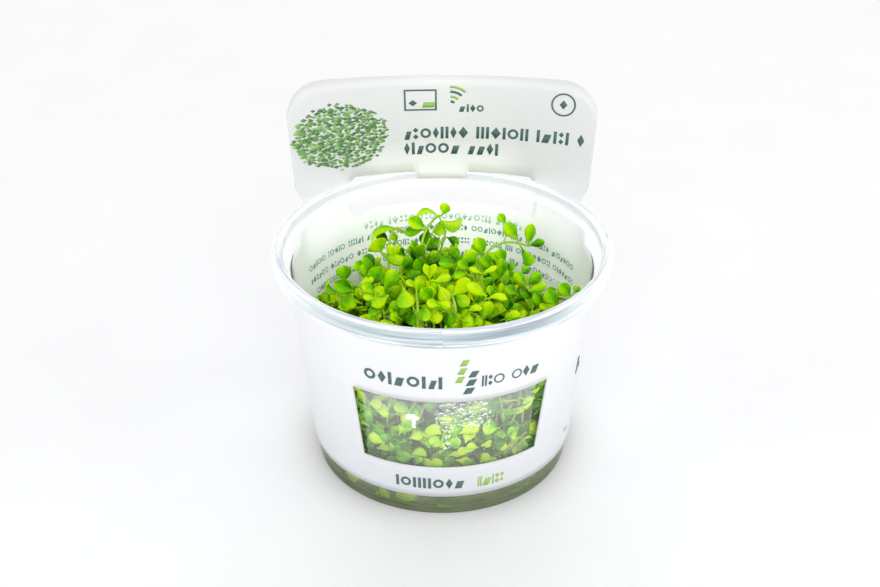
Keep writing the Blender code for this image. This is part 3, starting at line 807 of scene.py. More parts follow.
def leaf_material():
    """A fleshy blade: a paler midrib and side veins, mottled, under a waxy gloss, with painted
    shade and highlights.
    """
    bright = (0.67, 0.98, 0.003)
    stuff = Stuff("leaf_green", {
        "Roughness": 0.42, "Subsurface Weight": 0.35, "Subsurface Radius": (0.5, 1.0, 0.15),
        "Subsurface Scale": 0.7 * MM, "Specular IOR Level": 0.1})
    tint = stuff.value("Attribute", {}, "Fac", attribute_name="tint")
    place = stuff.value("Attribute", {}, "Vector", attribute_name="place")
    along, spread, _ = stuff.parts(place)
    across = abs(spread)
    # Painted shade: half darkens one side of the blade, and the along term of level darkens it
    # from the tip towards the foot.
    half = (spread * 2.5).at_least(-1.0).at_most(1.0)
    mottle = stuff.noise(700.0, 4.0, 0.6)
    level = tint + (mottle - 0.5) * 0.5 + half * 0.13 + (along - 0.5) * 0.3
    blade = stuff.ramp(level, (0.12, (0.006, 0.11, 0.0003)), (0.5, (0.19, 0.59, 0.0008)),
                       (0.9, bright))
    wave = abs((along * 5.0 - across * 1.4).maths("FRACT") - 0.5)
    side_vein = wave.maths("LESS_THAN", 0.06) * 0.35
    midrib = 1.0 - across * 9.0
    vein = midrib.at_least(0.0).at_least(side_vein) * 0.4
    body = stuff.mix(vein, blade, stuff.mix(0.5, blade, bright))
    foot = (1.0 - along * 5.0).at_least(0.0)
    body = stuff.mix(foot * 0.6, body, bright)
    # Painted highlight: a lighter band along the blade's edges.
    rim = (across * 6.0 - 5.0).at_least(0.0)
    body = stuff.mix(rim * 0.55, body, stuff.mix(0.5, body, bright))
    stuff.feed({"Base Color": body})
    stuff.bump(mottle - vein * 1.5, 0.05, 0.5)
    return stuff


def water_material():
    """Beads of condensation: clear in the middle, with a painted highlight, a glowing white
    crescent along the top.
    """
    stuff = Stuff("condensation", {"Base Color": 1.0, "IOR": 1.33, "Roughness": 0.05,
                                   "Emission Color": 1.0})
    place = stuff.value("Attribute", {}, "Vector", attribute_name="place")
    out, up, painted_glint = stuff.parts(place)
    grain = stuff.noise(1500.0, 3.0) * 0.3
    # The painted highlight spreads over the whole bead as its glint share rises.
    edge = (out * 0.7 + up * 0.5).at_least(painted_glint) + grain
    white = stuff.ramp(edge, (0.72, 0.0), (0.92, 1.0))
    clear = stuff.ramp(edge, (0.72, 0.9), (0.92, 0.1))
    stuff.feed({"Transmission Weight": clear, "Emission Strength": white * 0.55})
    stuff.let_lamps_through(1.0)
    return stuff


# ------------------------------------------------------------------- meshes


def piece_from(name, points, faces, stuffs, slots=None, smooth=True):
    mesh = bpy.data.meshes.new(name)
    mesh.from_pydata([tuple(p) for p in points], [], faces)
    for stuff in stuffs:
        mesh.materials.append(stuff.made)
    if slots:
        mesh.polygons.foreach_set("material_index", slots)
    if smooth:
        mesh.shade_smooth()
    mesh.update()
    return placed(bpy.data.objects.new(name, mesh))


def placed(made):
    bpy.context.scene.collection.objects.link(made)
    return made


def finished(piece, slot, *nodes):
    """Rides a piece on the model's one body and hides the model's parts that it stands for."""
    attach(piece, "root")
    if nodes:
        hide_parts(*nodes)


def ring_faces(rings, size):
    """Faces between rings of points, then over a foot and a tip, the two last points.

    A face is four corners. A triangle repeats its last one.
    """
    here = np.arange(size)
    after = (here + 1) % size
    low = size * np.arange(rings - 1)[:, None]
    sides = np.stack((low + here, low + size + here, low + size + after, low + after), -1)
    foot = np.full(size, rings * size)
    last = size * (rings - 1)
    ends = ((foot, here, after, after), (foot + 1, last + after, last + here, last + here))
    return np.concatenate((sides.reshape(-1, 4), *(np.stack(end, -1) for end in ends)))


def corners(faces):
    """The same faces as lists, without repeated corners."""
    return [tuple(dict.fromkeys(face)) for face in faces.tolist()]


def arc(centre_r, centre_z, radius, start, end, count):
    """Points of an arc in the profile plane. Angles are in degrees from +R towards +Z."""
    turns = [math.radians(blend(start, end, i / count)) for i in range(count + 1)]
    return [(centre_r + radius * math.cos(t), centre_z + radius * math.sin(t)) for t in turns]


def turned(name, profile, stuffs):
    """A closed solid of revolution. Its profile starts and ends on the axis."""
    points = []
    for r, z in profile[1:-1]:
        for i in range(CUP_STEPS):
            turn = math.tau * i / CUP_STEPS
            points.append((r * math.cos(turn), r * math.sin(turn), z))
    points += [(0.0, 0.0, profile[0][1]), (0.0, 0.0, profile[-1][1])]
    return piece_from(name, points, corners(ring_faces(len(profile) - 2, CUP_STEPS)), stuffs)


class Heap:
    """Many small closed shapes, gathered to be one mesh."""

    def __init__(self):
        self.points = []
        self.faces = []
        self.places = []
        self.tints = []
        self.count = 0

    def add(self, points, faces, places=None, tint=0.5):
        self.faces.append(np.asarray(faces) + self.count)
        self.points.append(np.array(points, float))
        self.places.append(np.zeros((len(points), 3)) if places is None else places)
        self.tints.append(np.full(len(points), tint))
        self.count += len(points)

    def piece(self, name, stuff):
        faces = corners(np.concatenate(self.faces))
        made = piece_from(name, np.concatenate(self.points), faces, [stuff])
        tint = made.data.attributes.new("tint", "FLOAT", "POINT")
        tint.data.foreach_set("value", np.concatenate(self.tints))
        place = made.data.attributes.new("place", "FLOAT_VECTOR", "POINT")
        place.data.foreach_set("vector", np.concatenate(self.places).ravel())
        return made


# ---------------------------------------------------------------------- cup


def wall_outside(height):
    return BASE_RADIUS + WALL_TAPER * height


def wall_inside(height):
    return wall_outside(height) - WALL


def cup_profile():
    """From the middle of the floor, up the inside, over the rim and down the outside."""
    fillet_z = FLOOR_TOP + FLOOR_FILLET
    fillet_r = wall_inside(fillet_z) - FLOOR_FILLET
    collar_top = CUP_HEIGHT - RIM_ROUND
    collar_top_r = COLLAR_RADIUS + COLLAR_LEAN * (collar_top - LEDGE_HEIGHT)
    collar_out = COLLAR_RADIUS + WALL
    skirt_r = RIM_RADIUS - LIP_STEP
    skirt_bottom = CUP_HEIGHT - SKIRT_DEPTH
    lip_top = skirt_bottom + SKIRT_LIP
    under_top = CUP_HEIGHT - WALL
    bevel = 0.35 * MM
    base_r = wall_outside(0.0)
    profile = [(0.0, FLOOR_TOP)] + arc(fillet_r, fillet_z, FLOOR_FILLET, -90, 0, 8)
    profile += [(wall_inside(z), z) for z in (SLEEVE_BOTTOM, FOG_FOOT)]
    profile += [
        (wall_inside(SHOULDER_HEIGHT) - WALL_TAPER * bevel, SHOULDER_HEIGHT - bevel),
        (wall_inside(SHOULDER_HEIGHT) + SOFT, SHOULDER_HEIGHT + SOFT),
        (COLLAR_RADIUS - 0.2 * MM, LEDGE_HEIGHT - SOFT),
        (COLLAR_RADIUS, LEDGE_HEIGHT + bevel),
        (collar_top_r, collar_top),
    ]
    profile += arc(collar_top_r + RIM_ROUND, collar_top, RIM_ROUND, 165, 90, 5)
    profile += arc(RIM_RADIUS - RIM_ROUND, collar_top, RIM_ROUND, 90, 0, 7)
    profile += [
        (skirt_r, collar_top - 1.0 * MM),
        (skirt_r, lip_top + 2.0 * SOFT),
        (RIM_RADIUS, lip_top),
        (RIM_RADIUS, skirt_bottom + SOFT),
        (RIM_RADIUS - SOFT, skirt_bottom),
        (RIM_RADIUS - WALL, skirt_bottom),
        (skirt_r - WALL, collar_top - 2.0 * SOFT),
        (RIM_RADIUS - 0.9 * MM - WALL, under_top - bevel),
        (collar_top_r + WALL + 0.8 * MM, under_top - 0.25 * MM),
        (collar_top_r + WALL, collar_top - 2.0 * SOFT),
        (collar_out, LEDGE_HEIGHT - 0.2 * MM),
        (collar_out - SOFT, LEDGE_HEIGHT - 0.2 * MM - bevel),
    ]
    levels = (SHOULDER_HEIGHT - SHOULDER_DROP, SLEEVE_TOP - 0.4 * MM, FOG_FOOT,
              SLEEVE_BOTTOM, FLOOR_TOP + 0.5 * MM, FOOT_ROUND)
    profile += [(wall_outside(z), z) for z in levels]
    profile += [
        (base_r - 0.1 * MM, 0.4 * FOOT_ROUND),
        (base_r - FOOT_ROUND, 0.0),
        (FOOT_INNER, 0.0),
        (FOOT_INNER - FOOT_HEIGHT, FOOT_HEIGHT),
        (0.0, FOOT_HEIGHT),
    ]
    return profile


def cup_material(face):
    """Clear wall 0, streaked rim 1, fogged window 2, white lips of the rim 3, wet foot 4."""
    x, y, z = face.center
    far = math.hypot(x, y)
    if z > SHOULDER_HEIGHT + 0.5 * MM:
        top = z > CUP_HEIGHT - 0.6 * MM and far < RIM_RADIUS - 0.4 * MM
        foot = z < CUP_HEIGHT - SKIRT_DEPTH + SKIRT_LIP and far > RIM_RADIUS - 0.5 * MM
        return 3 if top or foot else 1
    if z < SLEEVE_BOTTOM + 0.5 * MM:
        return 4
    # The strip of wall just above the card at the front takes the lips' plastic, which paints the
    # skirt's shadow on it.
    if z > SLEEVE_TOP - 0.4 * MM and y < -0.3 * RIM_RADIUS:
        return 3
    on_wall = z > FOG_FOOT and far > 20.0 * MM
    return 2 if on_wall and VEIL[0] < math.degrees(math.atan2(x, -y)) < VEIL[1] else 0


def build_cup():
    stuffs = [clear_plastic(), rim_plastic(), fogged_plastic(), lip_plastic(), wet_plastic()]
    cup = turned("cup_clear", cup_profile(), stuffs)
    for face in cup.data.polygons:
        face.material_index = cup_material(face)
    cup.data.set_sharp_from_angle(angle=math.radians(50))
    finished(cup, "clear_plastic", "cup")


def build_gel():
    """The gel, from the middle of its underside, up its side and over its meniscus."""
    low = FLOOR_TOP + GAP
    fillet = FLOOR_FILLET + GAP
    side = wall_inside(low + fillet) - GEL_GAP
    edge = wall_inside(GEL_TOP) - GEL_GAP
    profile = [(0.0, low)] + arc(side - fillet, low + fillet, fillet, -90, 0, 8)
    for i in range(6, -1, -1):
        share = i / 6
        rise = MENISCUS * share**2
        profile.append((edge - MENISCUS_WIDTH * (1.0 - share), GEL_TOP + rise))
    profile.append((0.0, GEL_TOP))
    gel = turned("gel_set", profile, [gel_material()])
    gel.data.flip_normals()
    finished(gel, "gel", "nutrient_gel")


# --------------------------------------------------------------------- card


def sleeve_radius(height):
    return CARD_RADIUS + WALL_TAPER * height


def cone_point(angle, height):
    """A point of the card's inner face on the cup's cone; angle is from the back, +Y."""
    radius = sleeve_radius(height)
    return Vector((radius * math.sin(angle), radius * math.cos(angle), height))


def swing(across, height):
    """How far the card has left the cup's cone for the header's flatter sweep, 0 to 1."""
    if height >= SWING_END:
        return 1.0
    near = smooth_step(*SWING_NEAR, across)
    far = 1.0 - smooth_step(LEG_OUTER, LEG_OUTER + SWING_FAR, across)
    return smooth_step(SWING_START, SWING_END, height) * near * far


def header_point(across, height):
    rise = max(height - CUP_HEIGHT, 0.0)
    depth = blend(HEADER_DEPTH_LOW, HEADER_DEPTH_TOP, rise / HEADER_RISE)
    bend = blend(HEADER_BEND_LOW, HEADER_BEND_TOP, rise / HEADER_RISE)
    edge = smooth_step(0.75 * LEG_OUTER, LEG_OUTER, abs(across))
    waist = LEG_WAIST * edge * smooth_step(0, WAIST_REACH, CUP_HEIGHT - height)
    wide = across * (1.0 + HEADER_SPREAD * rise - waist)
    return Vector((wide, depth - bend * wide * wide, height))


def card_point(across, height):
    """A point of the card's inner face. across is its distance from the card's middle."""
    size = abs(across)
    length = size + (2.0 * HEADER_BEND_LOW) ** 2 * size**3 / 6.0
    angle = math.copysign(length / sleeve_radius(CUP_HEIGHT), across)
    return cone_point(angle, height).lerp(header_point(across, height), swing(size, height))


def back_heights(size):
    """Heights of the named rows at a distance from the card's middle."""
    inward = min(max(size - SLOT_ROUND_START, 0.0), LEG_INNER - SLOT_ROUND_START)
    share = inward / (LEG_INNER - SLOT_ROUND_START)
    header_bottom = CUP_HEIGHT + GAP - SLOT_ROUND_DROP * share**1.4
    inward = max(min(size, LEG_OUTER) - (LEG_OUTER - HEADER_CORNER), 0.0)
    corner = math.sqrt(max(HEADER_CORNER**2 - inward**2, 0.0))
    header_top = CUP_HEIGHT + HEADER_RISE - HEADER_CORNER + corner
    deep = smooth_step(NOTCH_START, NOTCH_END, size)
    slot_bottom = CUP_HEIGHT - blend(SLOT_DEPTH, NOTCH_DEPTH, deep)
    tab = CUP_HEIGHT - (TAB_DROP if size <= TAB_HALF + CLOSE else TAB_ROW_DROP)
    return [SLEEVE_BOTTOM, WINDOW_BOTTOM, WINDOW_TOP, SWING_START,
            *(SWING_START + step for step in SWING_STEPS), slot_bottom, SLEEVE_TOP,
            *(CUP_HEIGHT - step for step in RIM_STEPS), tab, header_bottom, header_top]


def fine_rows(size):
    """Heights of all the rows, each with the number of the stretch that it starts."""
    heights = back_heights(size)
    rows = []
    for stretch, (low, high) in enumerate(zip(heights, heights[1:])):
        parts = ROW_PARTS[stretch]
        rows += [(blend(low, high, i / parts), stretch) for i in range(parts)]
    return rows + [(heights[-1], HEADER_ROW + 1)]


def back_column(across):
    rows = fine_rows(abs(across))
    points = [card_point(across, z) for z, _ in rows]
    return {"across": abs(across), "points": points, "stretches": [s for _, s in rows],
            "in_window": False}


def front_column(degrees):
    """A column of the front. Beside the window its lines lean as the window's sides do."""
    left, right = WINDOW_SIDES
    lean = WINDOW_HALF_TOP - WINDOW_HALF_BOTTOM
    end = math.radians(FRONT_HALF)
    marks = (-FRONT_HALF, left, right, FRONT_HALF)
    places = (-end, WINDOW_CENTRE - WINDOW_HALF_BOTTOM, WINDOW_CENTRE + WINDOW_HALF_BOTTOM, end)
    base = float(np.interp(degrees, marks, places))
    tilt = float(np.interp(degrees, marks, (0.0, -lean, lean, 0.0)))
    rows = [row for row in fine_rows(BACK_ACROSS[-1] * MM)
            if row[1] < SLEEVE_ROWS or row[0] <= SLEEVE_TOP + CLOSE]
    points = []
    for z, _ in rows:
        share = min(max((z - WINDOW_BOTTOM) / (WINDOW_TOP - WINDOW_BOTTOM), 0.0), 1.0)
        points.append(cone_point(math.pi - (base + tilt * share), z))
    return {"across": None, "points": points, "stretches": [s for _, s in rows],
            "in_window": left - CLOSE <= degrees <= right + CLOSE}


def card_columns():
    """All columns round the card, from the back's middle over -X, the front and +X."""
    half = refined([v * MM for v in BACK_ACROSS], COLUMN_STEP)
    left = [back_column(-v) for v in half]
    right = [back_column(v) for v in reversed(half[1:])]
    turns = refined([-FRONT_HALF, *WINDOW_SIDES, FRONT_HALF], FRONT_STEP)
    return left + [front_column(t) for t in turns] + right


def card_has(first, second, stretch):
    """True where there is card between two neighbouring columns, in the given stretch."""
    if stretch == WINDOW_ROW and first["in_window"] and second["in_window"]:
        return False
    if first["across"] is None or second["across"] is None:
        return stretch < SLEEVE_ROWS
    near = min(first["across"], second["across"]) + CLOSE
    far = max(first["across"], second["across"]) - CLOSE
    if far > LEG_OUTER:
        return stretch < SLEEVE_ROWS
    in_tab = stretch == HEADER_ROW - 1 and far <= TAB_HALF
    return not SLOT_ROW <= stretch < HEADER_ROW or near >= LEG_INNER or in_tab


def build_card():
    """One sheet with its window, slot and tab, thickened outwards."""
    columns = card_columns()
    numbers = {}
    points = []
    faces = []
    slots = []

    def corner(column, row):
        if (column, row) not in numbers:
            numbers[column, row] = len(points)
            points.append(columns[column]["points"][row])
        return numbers[column, row]

    for i, column in enumerate(columns):
        j = (i + 1) % len(columns)
        rows = min(len(column["points"]), len(columns[j]["points"])) - 1
        for row, stretch in enumerate(column["stretches"][:rows]):
            if card_has(column, columns[j], stretch):
                ring = ((i, row), (j, row), (j, row + 1), (i, row + 1))
                faces.append([corner(*place) for place in ring])
                slots.append(3 if stretch >= SLEEVE_ROWS else 0)
    outer = outer_face()
    edge = card_edge()
    stuffs = [outer, wall_face(), edge, outer, header_face(), edge]
    card = piece_from("card_printed_sleeve", points, faces, stuffs, slots)
    thick = card.modifiers.new("card", "SOLIDIFY")
    thick.thickness = CARD
    thick.offset = 1.0
    thick.material_offset = 1
    thick.material_offset_rim = 2
    finished(card, "white_card", "card_sleeve")


# ------------------------------------------------------------------- prints


def mm(*values):
    return [v * MM for v in values]


def on_header(across, rise):
    return card_point(across, CUP_HEIGHT + rise)


def on_sleeve(across, height):
    angle = across / PRINT_RADIUS
    radius = sleeve_radius(height) + CARD
    return Vector((radius * math.sin(angle), -radius * math.cos(angle), height))


def raised(surface, place, lift):
    """A point lifted off a printed face, away from the card."""
    u, v = place
    point = surface(u, v)
    step = 0.2 * MM
    normal = (surface(u + step, v) - point).cross(surface(u, v + step) - point).normalized()
    return point + normal * lift


class Print:
    """Ink of one colour: thin closed strips that follow the card."""

    def __init__(self, surface):
        self.surface = surface
        self.heap = Heap()

    def strip(self, pairs):
        """A strip between two edges, given as pairs of places."""
        fine = [pairs[0]]
        for before, after in zip(pairs, pairs[1:]):
            count = max(1, math.ceil(math.dist(before[0], after[0]) / PRINT_STEP))
            for i in range(1, count + 1):
                fine.append([[blend(a, b, i / count) for a, b in zip(before[k], after[k])]
                             for k in (0, 1)])
        points = []
        for low, high in fine:
            for place, lift in ((low, 0.0), (high, 0.0), (high, PRINT_THICK), (low, PRINT_THICK)):
                points.append(raised(self.surface, place, PRINT_LIFT + lift))
        last = 4 * (len(fine) - 1)
        ends = [(0, 1, 2, 3), (last + 3, last + 2, last + 1, last)]
        self.heap.add(points, np.concatenate((ring_faces(len(fine), 4)[:last], ends)))

    def bar(self, left, right, low, high, slant=0.0):
        lean = slant * (high - low)
        self.strip((((left, low), (left + lean, high)), ((right, low), (right + lean, high))))

    def lozenge(self, u, v, half_u, half_v):
        self.strip((((u - half_u, v), (u - half_u, v)), ((u, v - half_v), (u, v + half_v)),
                    ((u + half_u, v), (u + half_u, v))))

    def ring(self, u, v, radius, stroke, start=0.0, end=360.0):
        turns = [math.radians(blend(start, end, i / 24)) for i in range(25)]
        self.strip([[(u + r * math.cos(turn), v + r * math.sin(turn))
                     for r in (radius - stroke, radius)] for turn in turns])

    def frame(self, left, right, low, high, stroke):
        self.bar(left, right, low, low + stroke)
        self.bar(left, right, high - stroke, high)
        self.bar(left, left + stroke, low + stroke, high - stroke)
        self.bar(right - stroke, right, low + stroke, high - stroke)

    def row(self, draw, left, right, low, high, stroke, climb=0.0):
        """A row of plain marks, in groups, from left to right, in millimetres."""
        left, right, low, high, stroke = mm(left, right, low, high, stroke)
        size = high - low
        u = left
        group = draw.randint(4, 9)
        while u < right - 0.5 * size:
            wide = size * draw.uniform(0.45, 0.8)
            foot = low + climb * (u - left)
            kind = draw.choice(("bar", "bar", "block", "lozenge", "ring", "dots"))
            if kind == "bar":
                wide = 1.2 * stroke
                self.bar(u, u + wide, foot, foot + size)
            elif kind == "block":
                self.bar(u, u + 0.7 * wide, foot, foot + size - 0.3 * size, 0.3)
            elif kind == "lozenge":
                self.lozenge(u + 0.5 * wide, foot + 0.5 * size, 0.5 * wide, 0.5 * size)
            elif kind == "ring":
                wide = 0.84 * size
                self.ring(u + 0.42 * size, foot + 0.5 * size, 0.42 * size, stroke)
            else:
                for share in (0.22, 0.78):
                    self.lozenge(u + 0.3 * wide, foot + share * size, 0.3 * wide, 0.22 * size)
                wide *= 0.6
            u += wide + 0.8 * stroke
            group -= 1
            if group == 0:
                u += 0.5 * size
                group = draw.randint(4, 9)

    def piece(self, name, stuff):
        finished(self.heap.piece(name, stuff), "white_card")


def build_header_prints(teal_ink, lime_ink, draw):
    teal = Print(on_header)
    lime = Print(on_header)
    for row in HEADER_MARKS:
        teal.row(draw, *row)
    teal.frame(*mm(-11.4, -1.6, 20.9, 27.8, 0.5))
    lime.bar(*mm(-6.0, -2.4, 21.9, 23.6), 0.3)
    teal.lozenge(*mm(-8.8, 23.4, 1.3, 1.0))
    teal.ring(*mm(36.0, 24.7, 3.6, 0.5))
    teal.lozenge(*mm(36.0, 24.7, 1.1, 1.4))
    for which, radius in ((teal, 2.0), (lime, 3.6), (teal, 5.2), (lime, 6.8)):
        which.ring(*mm(2.6, 22.2, radius, 0.75), 48.0, 92.0)
    teal.piece("header_teal_marks", teal_ink)
    lime.piece("header_lime_marks", lime_ink)


def build_rosette(greens, draw):
    """The picture place: a spiral of small leaf marks in greens."""
    tones = [Print(on_header) for _ in greens]
    for i in range(ROSETTE_MARKS):
        reach = math.sqrt((i + 0.5) / ROSETTE_MARKS) * draw.uniform(0.93, 1.04)
        turn = i * GOLDEN_TURN + draw.uniform(-0.05, 0.05) / reach
        u = ROSETTE_PLACE[0] + ROSETTE_HALF[0] * reach * math.cos(turn)
        v = ROSETTE_PLACE[1] + ROSETTE_HALF[1] * reach * math.sin(turn)
        size = draw.uniform(0.5, 1.05) * MM
        tones[draw.choice((0, 0, 1, 1, 2))].lozenge(u, v, size, 0.62 * size)
    for number, (tone, green) in enumerate(zip(tones, greens), 1):
        tone.piece(f"rosette_{number}", green)


def build_sleeve_prints(teal_ink, lime_ink, draw):
    teal = Print(on_sleeve)
    lime = Print(on_sleeve)
    for row in SLEEVE_MARKS:
        teal.row(draw, *row)
    lime.row(draw, *SLEEVE_MARKS_LIME)
    for i in range(3):
        low = 46.6 + 2.9 * i
        teal.bar(*mm(5.7 + 0.7 * i, 8.1 + 0.5 * i, low, low + 2.1), 0.5)
        lime.bar(*mm(3.4 + 0.6 * i, 5.2 + 0.6 * i, low + 4.2, low + 6.3), 0.5)
    teal.bar(*mm(51.5, 53.3, 35.0, 40.8), 0.08)
    teal.bar(*mm(53.7, 54.9, 36.2, 38.0), 0.08)
    teal.row(draw, *SIDE_MARKS)
    teal.piece("sleeve_teal_marks", teal_ink)
    lime.piece("sleeve_lime_marks", lime_ink)


def build_wall_prints(teal_ink, pale_ink, draw):
    """Rows on the inside of the sleeve, behind the plants."""
    teal = Print(card_point)
    pale = Print(card_point)
    for row in WALL_MARKS:
        teal.row(draw, *row)
    pale.row(draw, *WALL_MARKS_PALE)
    teal.piece("wall_teal_marks", teal_ink)
    pale.piece("wall_pale_marks", pale_ink)


def build_prints():
    draw = random.Random(5)
    teal = ink("ink_teal", (0.015, 0.105, 0.095))
    lime = ink("ink_lime", (0.33, 0.60, 0.05))
    greens = (ink("ink_green_dark", (0.06, 0.22, 0.04)), ink("ink_green", (0.16, 0.42, 0.07)),
              ink("ink_green_light", (0.36, 0.62, 0.16)))
    build_header_prints(teal, lime, draw)
    build_rosette(greens, draw)
    build_sleeve_prints(teal, lime, draw)
    build_wall_prints(ink("ink_soft_teal", (0.13, 0.38, 0.29)),
                      ink("ink_pale", (0.60, 0.85, 0.72)), draw)


# ------------------------------------------------------------------- plants


def carpet_top(x, y):
    spread = (x * x + (y - CROWN_BACK) ** 2) / (2.0 * CROWN_SPREAD**2)
    lumps = math.sin(x * LUMP_RATE + 1.0) + math.cos(y * LUMP_RATE - 0.5)
    return CARPET_RIM + CARPET_CROWN * math.exp(-spread) + CARPET_LUMPS * lumps


def along(curve, share):
    """The point a share of the way along a curve of control points."""
    points = list(curve)
    while len(points) > 1:
        points = [a.lerp(b, share) for a, b in zip(points, points[1:])]
    return points[0]


def line_of(curve, steps):
    return [along(curve, i / steps) for i in range(steps + 1)]


def tube(heap, path, radii, sides=6, tint=0.5):
    """A closed round tube along a path of points. radii is one number, or one for each."""
    radii = radii if isinstance(radii, list) else [radii] * len(path)
    points = []
    side = (path[1] - path[0]).normalized().orthogonal().normalized()
    for i, place in enumerate(path):
        ahead = (path[min(i + 1, len(path) - 1)] - path[max(i - 1, 0)]).normalized()
        side = (side - ahead * side.dot(ahead)).normalized()
        other = ahead.cross(side)
        for k in range(sides):
            turn = math.tau * k / sides
            points.append(place + (side * math.cos(turn) + other * math.sin(turn)) * radii[i])
    faces = ring_faces(len(path), sides)[:, (0, 3, 2, 1)]
    heap.add(points + [path[0], path[-1]], faces, tint=tint)


def leaf_section():
    """Places across the leaf and the side of it, upper 1, edge 0 or lower -1."""
    over = [blend(-1.0, 1.0, i / LEAF_PARTS) for i in range(LEAF_PARTS + 1)]
    back = over[-2:0:-1]
    side = [0.0] + [1.0] * (LEAF_PARTS - 1) + [0.0] + [-1.0] * len(back)
    return np.array(over + back), np.array(side)


LEAF_ACROSS, LEAF_SIDE = leaf_section()
LEAF_FACES = ring_faces(len(LEAF_RINGS), len(LEAF_ACROSS))


def leaf_shape(length, width, cup, fold, curl, wide, wave, phase):
    """Points of a leaf from the origin, its tip on +X and its upper face towards +Z.

    cup raises its edges as a bowl, fold as a V, curl turns the tip down by that many
    radians, wide moves its widest place to the tip, and wave ripples the edges.
    """
    shares = np.concatenate((LEAF_RINGS, (0.0, 1.0)))
    fine = np.linspace(0.0, 1.0, 61)
    turn = -curl * fine**1.3
    run = np.concatenate(((0.0,), np.cumsum(np.cos(turn[1:]))))
    rise = np.concatenate(((0.0,), np.cumsum(np.sin(turn[1:]))))
    chord = math.hypot(run[-1], rise[-1])
    lift = math.atan2(rise[-1], run[-1])
    ahead = (run * math.cos(lift) + rise * math.sin(lift)) * length / chord
    above = (rise * math.cos(lift) - run * math.sin(lift)) * length / chord
    spine_x = np.interp(shares, fine, ahead)
    spine_z = np.interp(shares, fine, above)
    blade = np.clip((shares - PETIOLE) / (1.0 - PETIOLE), 0.0, 1.0)
    half = 0.5 * width * np.sin(math.pi * blade**wide) ** LEAF_ROUND
    stalk = PETIOLE_HALF * np.clip((1.0 - shares) * 6.0, 0.0, 1.0)
    half = np.maximum(half, np.where(shares < 0.5, stalk, 0.0))
    thick = 0.5 * LEAF_THICKNESS * (1.0 + 0.8 * np.clip(1.0 - shares * 4.0, 0.0, 1.0))
    rings = len(LEAF_RINGS)
    lean = np.interp(shares, fine, turn - lift)[:rings, None]
    v = LEAF_ACROSS[None, :]
    w = half[:rings, None]
    offset = w * (cup * v**2 + fold * np.abs(v))
    offset = offset + wave * w * v**2 * np.sin(9.0 * shares[:rings, None] + phase + v)
    offset = offset + LEAF_SIDE[None, :] * thick[:rings, None] * (1.0 - 0.6 * v**2)
    x = spine_x[:rings, None] - np.sin(lean) * offset
    z = spine_z[:rings, None] + np.cos(lean) * offset
    y = np.broadcast_to(w * v * (1.0 - 0.12 * np.abs(cup) - 0.2 * abs(fold)), x.shape)
    points = np.stack((x, y, z), axis=-1).reshape(-1, 3)
    spread = [np.tile(values, rings) for values in (LEAF_ACROSS, LEAF_SIDE)]
    places = np.stack((np.repeat(shares[:rings], len(LEAF_ACROSS)), *spread), axis=-1)
    ends = ((0.0, 0.0, 0.0), (spine_x[-1], 0.0, spine_z[-1]))
    return (np.concatenate((points, ends)),
            np.concatenate((places, ((0.0, 0.0, 0.0), (1.0, 0.0, 0.0)))))


def inside_cup(points):
    """Points past the cup's wall are pressed flat against it, and kept off its floor."""
    radius = np.hypot(points[:, 0], points[:, 1])
    start = wall_inside(points[:, 2]) - WALL_GAP - PRESS_DEPTH
    over = np.maximum(radius - start, 0.0)
    pressed = start + PRESS_DEPTH * (1.0 - np.exp(-over / PRESS_DEPTH))
    share = np.where(over > 0.0, pressed / np.maximum(radius, 1e-6), 1.0)
    height = np.maximum(points[:, 2], FLOOR_TOP + GAP)
    return np.stack((points[:, 0] * share, points[:, 1] * share, height), -1)


def sight(column, row, depth):
    """The point that the main view shows at a pixel, at the given depth along Y."""
    across = (column - 0.5 * PICTURE[0]) / VIEW_FOCUS
    up = (0.5 * PICTURE[1] - row) / VIEW_FOCUS
    ray = VIEW_AHEAD + Vector((across, 0.0, 0.0)) + VIEW_UP * up
    return VIEW_FROM + ray * ((depth - VIEW_FROM.y) / ray.y)


def pixel(point):
    """Where the main view shows a point."""
    far = Vector(point) - VIEW_FROM
    scale = VIEW_FOCUS / far.dot(VIEW_AHEAD)
    return (0.5 * PICTURE[0] + far.x * scale, 0.5 * PICTURE[1] - far.dot(VIEW_UP) * scale)


def in_clearing(points):
    """Whether a leaf would stand before a gap through which the main view sees the wall."""
    for x, y, reach in CLEARINGS:
        if math.dist(pixel(points[0]), (x, y)) < CLEARING_SEARCH:
            if any(math.dist(pixel(point), (x, y)) < reach for point in points[::2]):
                return True
    return False


def add_leaf(heap, shape, base, rows, tint, keep_clear=False):
    """A leaf with its foot at base. rows are its directions ahead, across and upwards.

    keep_clear leaves it out where it would hide a gap.
    """
    points, places = leaf_shape(*shape)
    points = inside_cup(points @ np.array(rows) + np.array(base))
    if not (keep_clear and in_clearing(points)):
        heap.add(points, LEAF_FACES, places, tint)


def random_shape(draw, length):
    width = length * draw.uniform(0.78, 1.02)
    cup = draw.uniform(-0.3, 0.45)
    fold = draw.choice((0.0, 0.0, 0.15, 0.4, -0.3))
    return (length, width, cup, fold, draw.uniform(-0.5, 1.1), draw.uniform(1.2, 1.8),
            draw.uniform(0.0, 0.1), draw.uniform(0.0, math.tau))


def canopy_depth(row):
    return float(np.interp(row, CANOPY_ROWS, CANOPY_DEPTHS)) * MM


def rooted(path):
    """A stem's path, from its tip, carried on down among the carpet's shoots."""
    last = path[-1]
    sink = []
    for depth in (3.0, 7.0, 12.0):
        narrow = 1.0 - 0.006 * depth
        sink.append(Vector((last.x * narrow, last.y * narrow, last.z - depth * MM)))
    return path + sink


def branch_place(path, foot):
    """Where a stem gives off a petiole that climbs to this foot."""

    def miss(place):
        aside = math.hypot(foot.x - place.x, foot.y - place.y)
        return abs(foot.z - place.z - PETIOLE_CLIMB * aside)

    return min(rooted(path), key=miss)


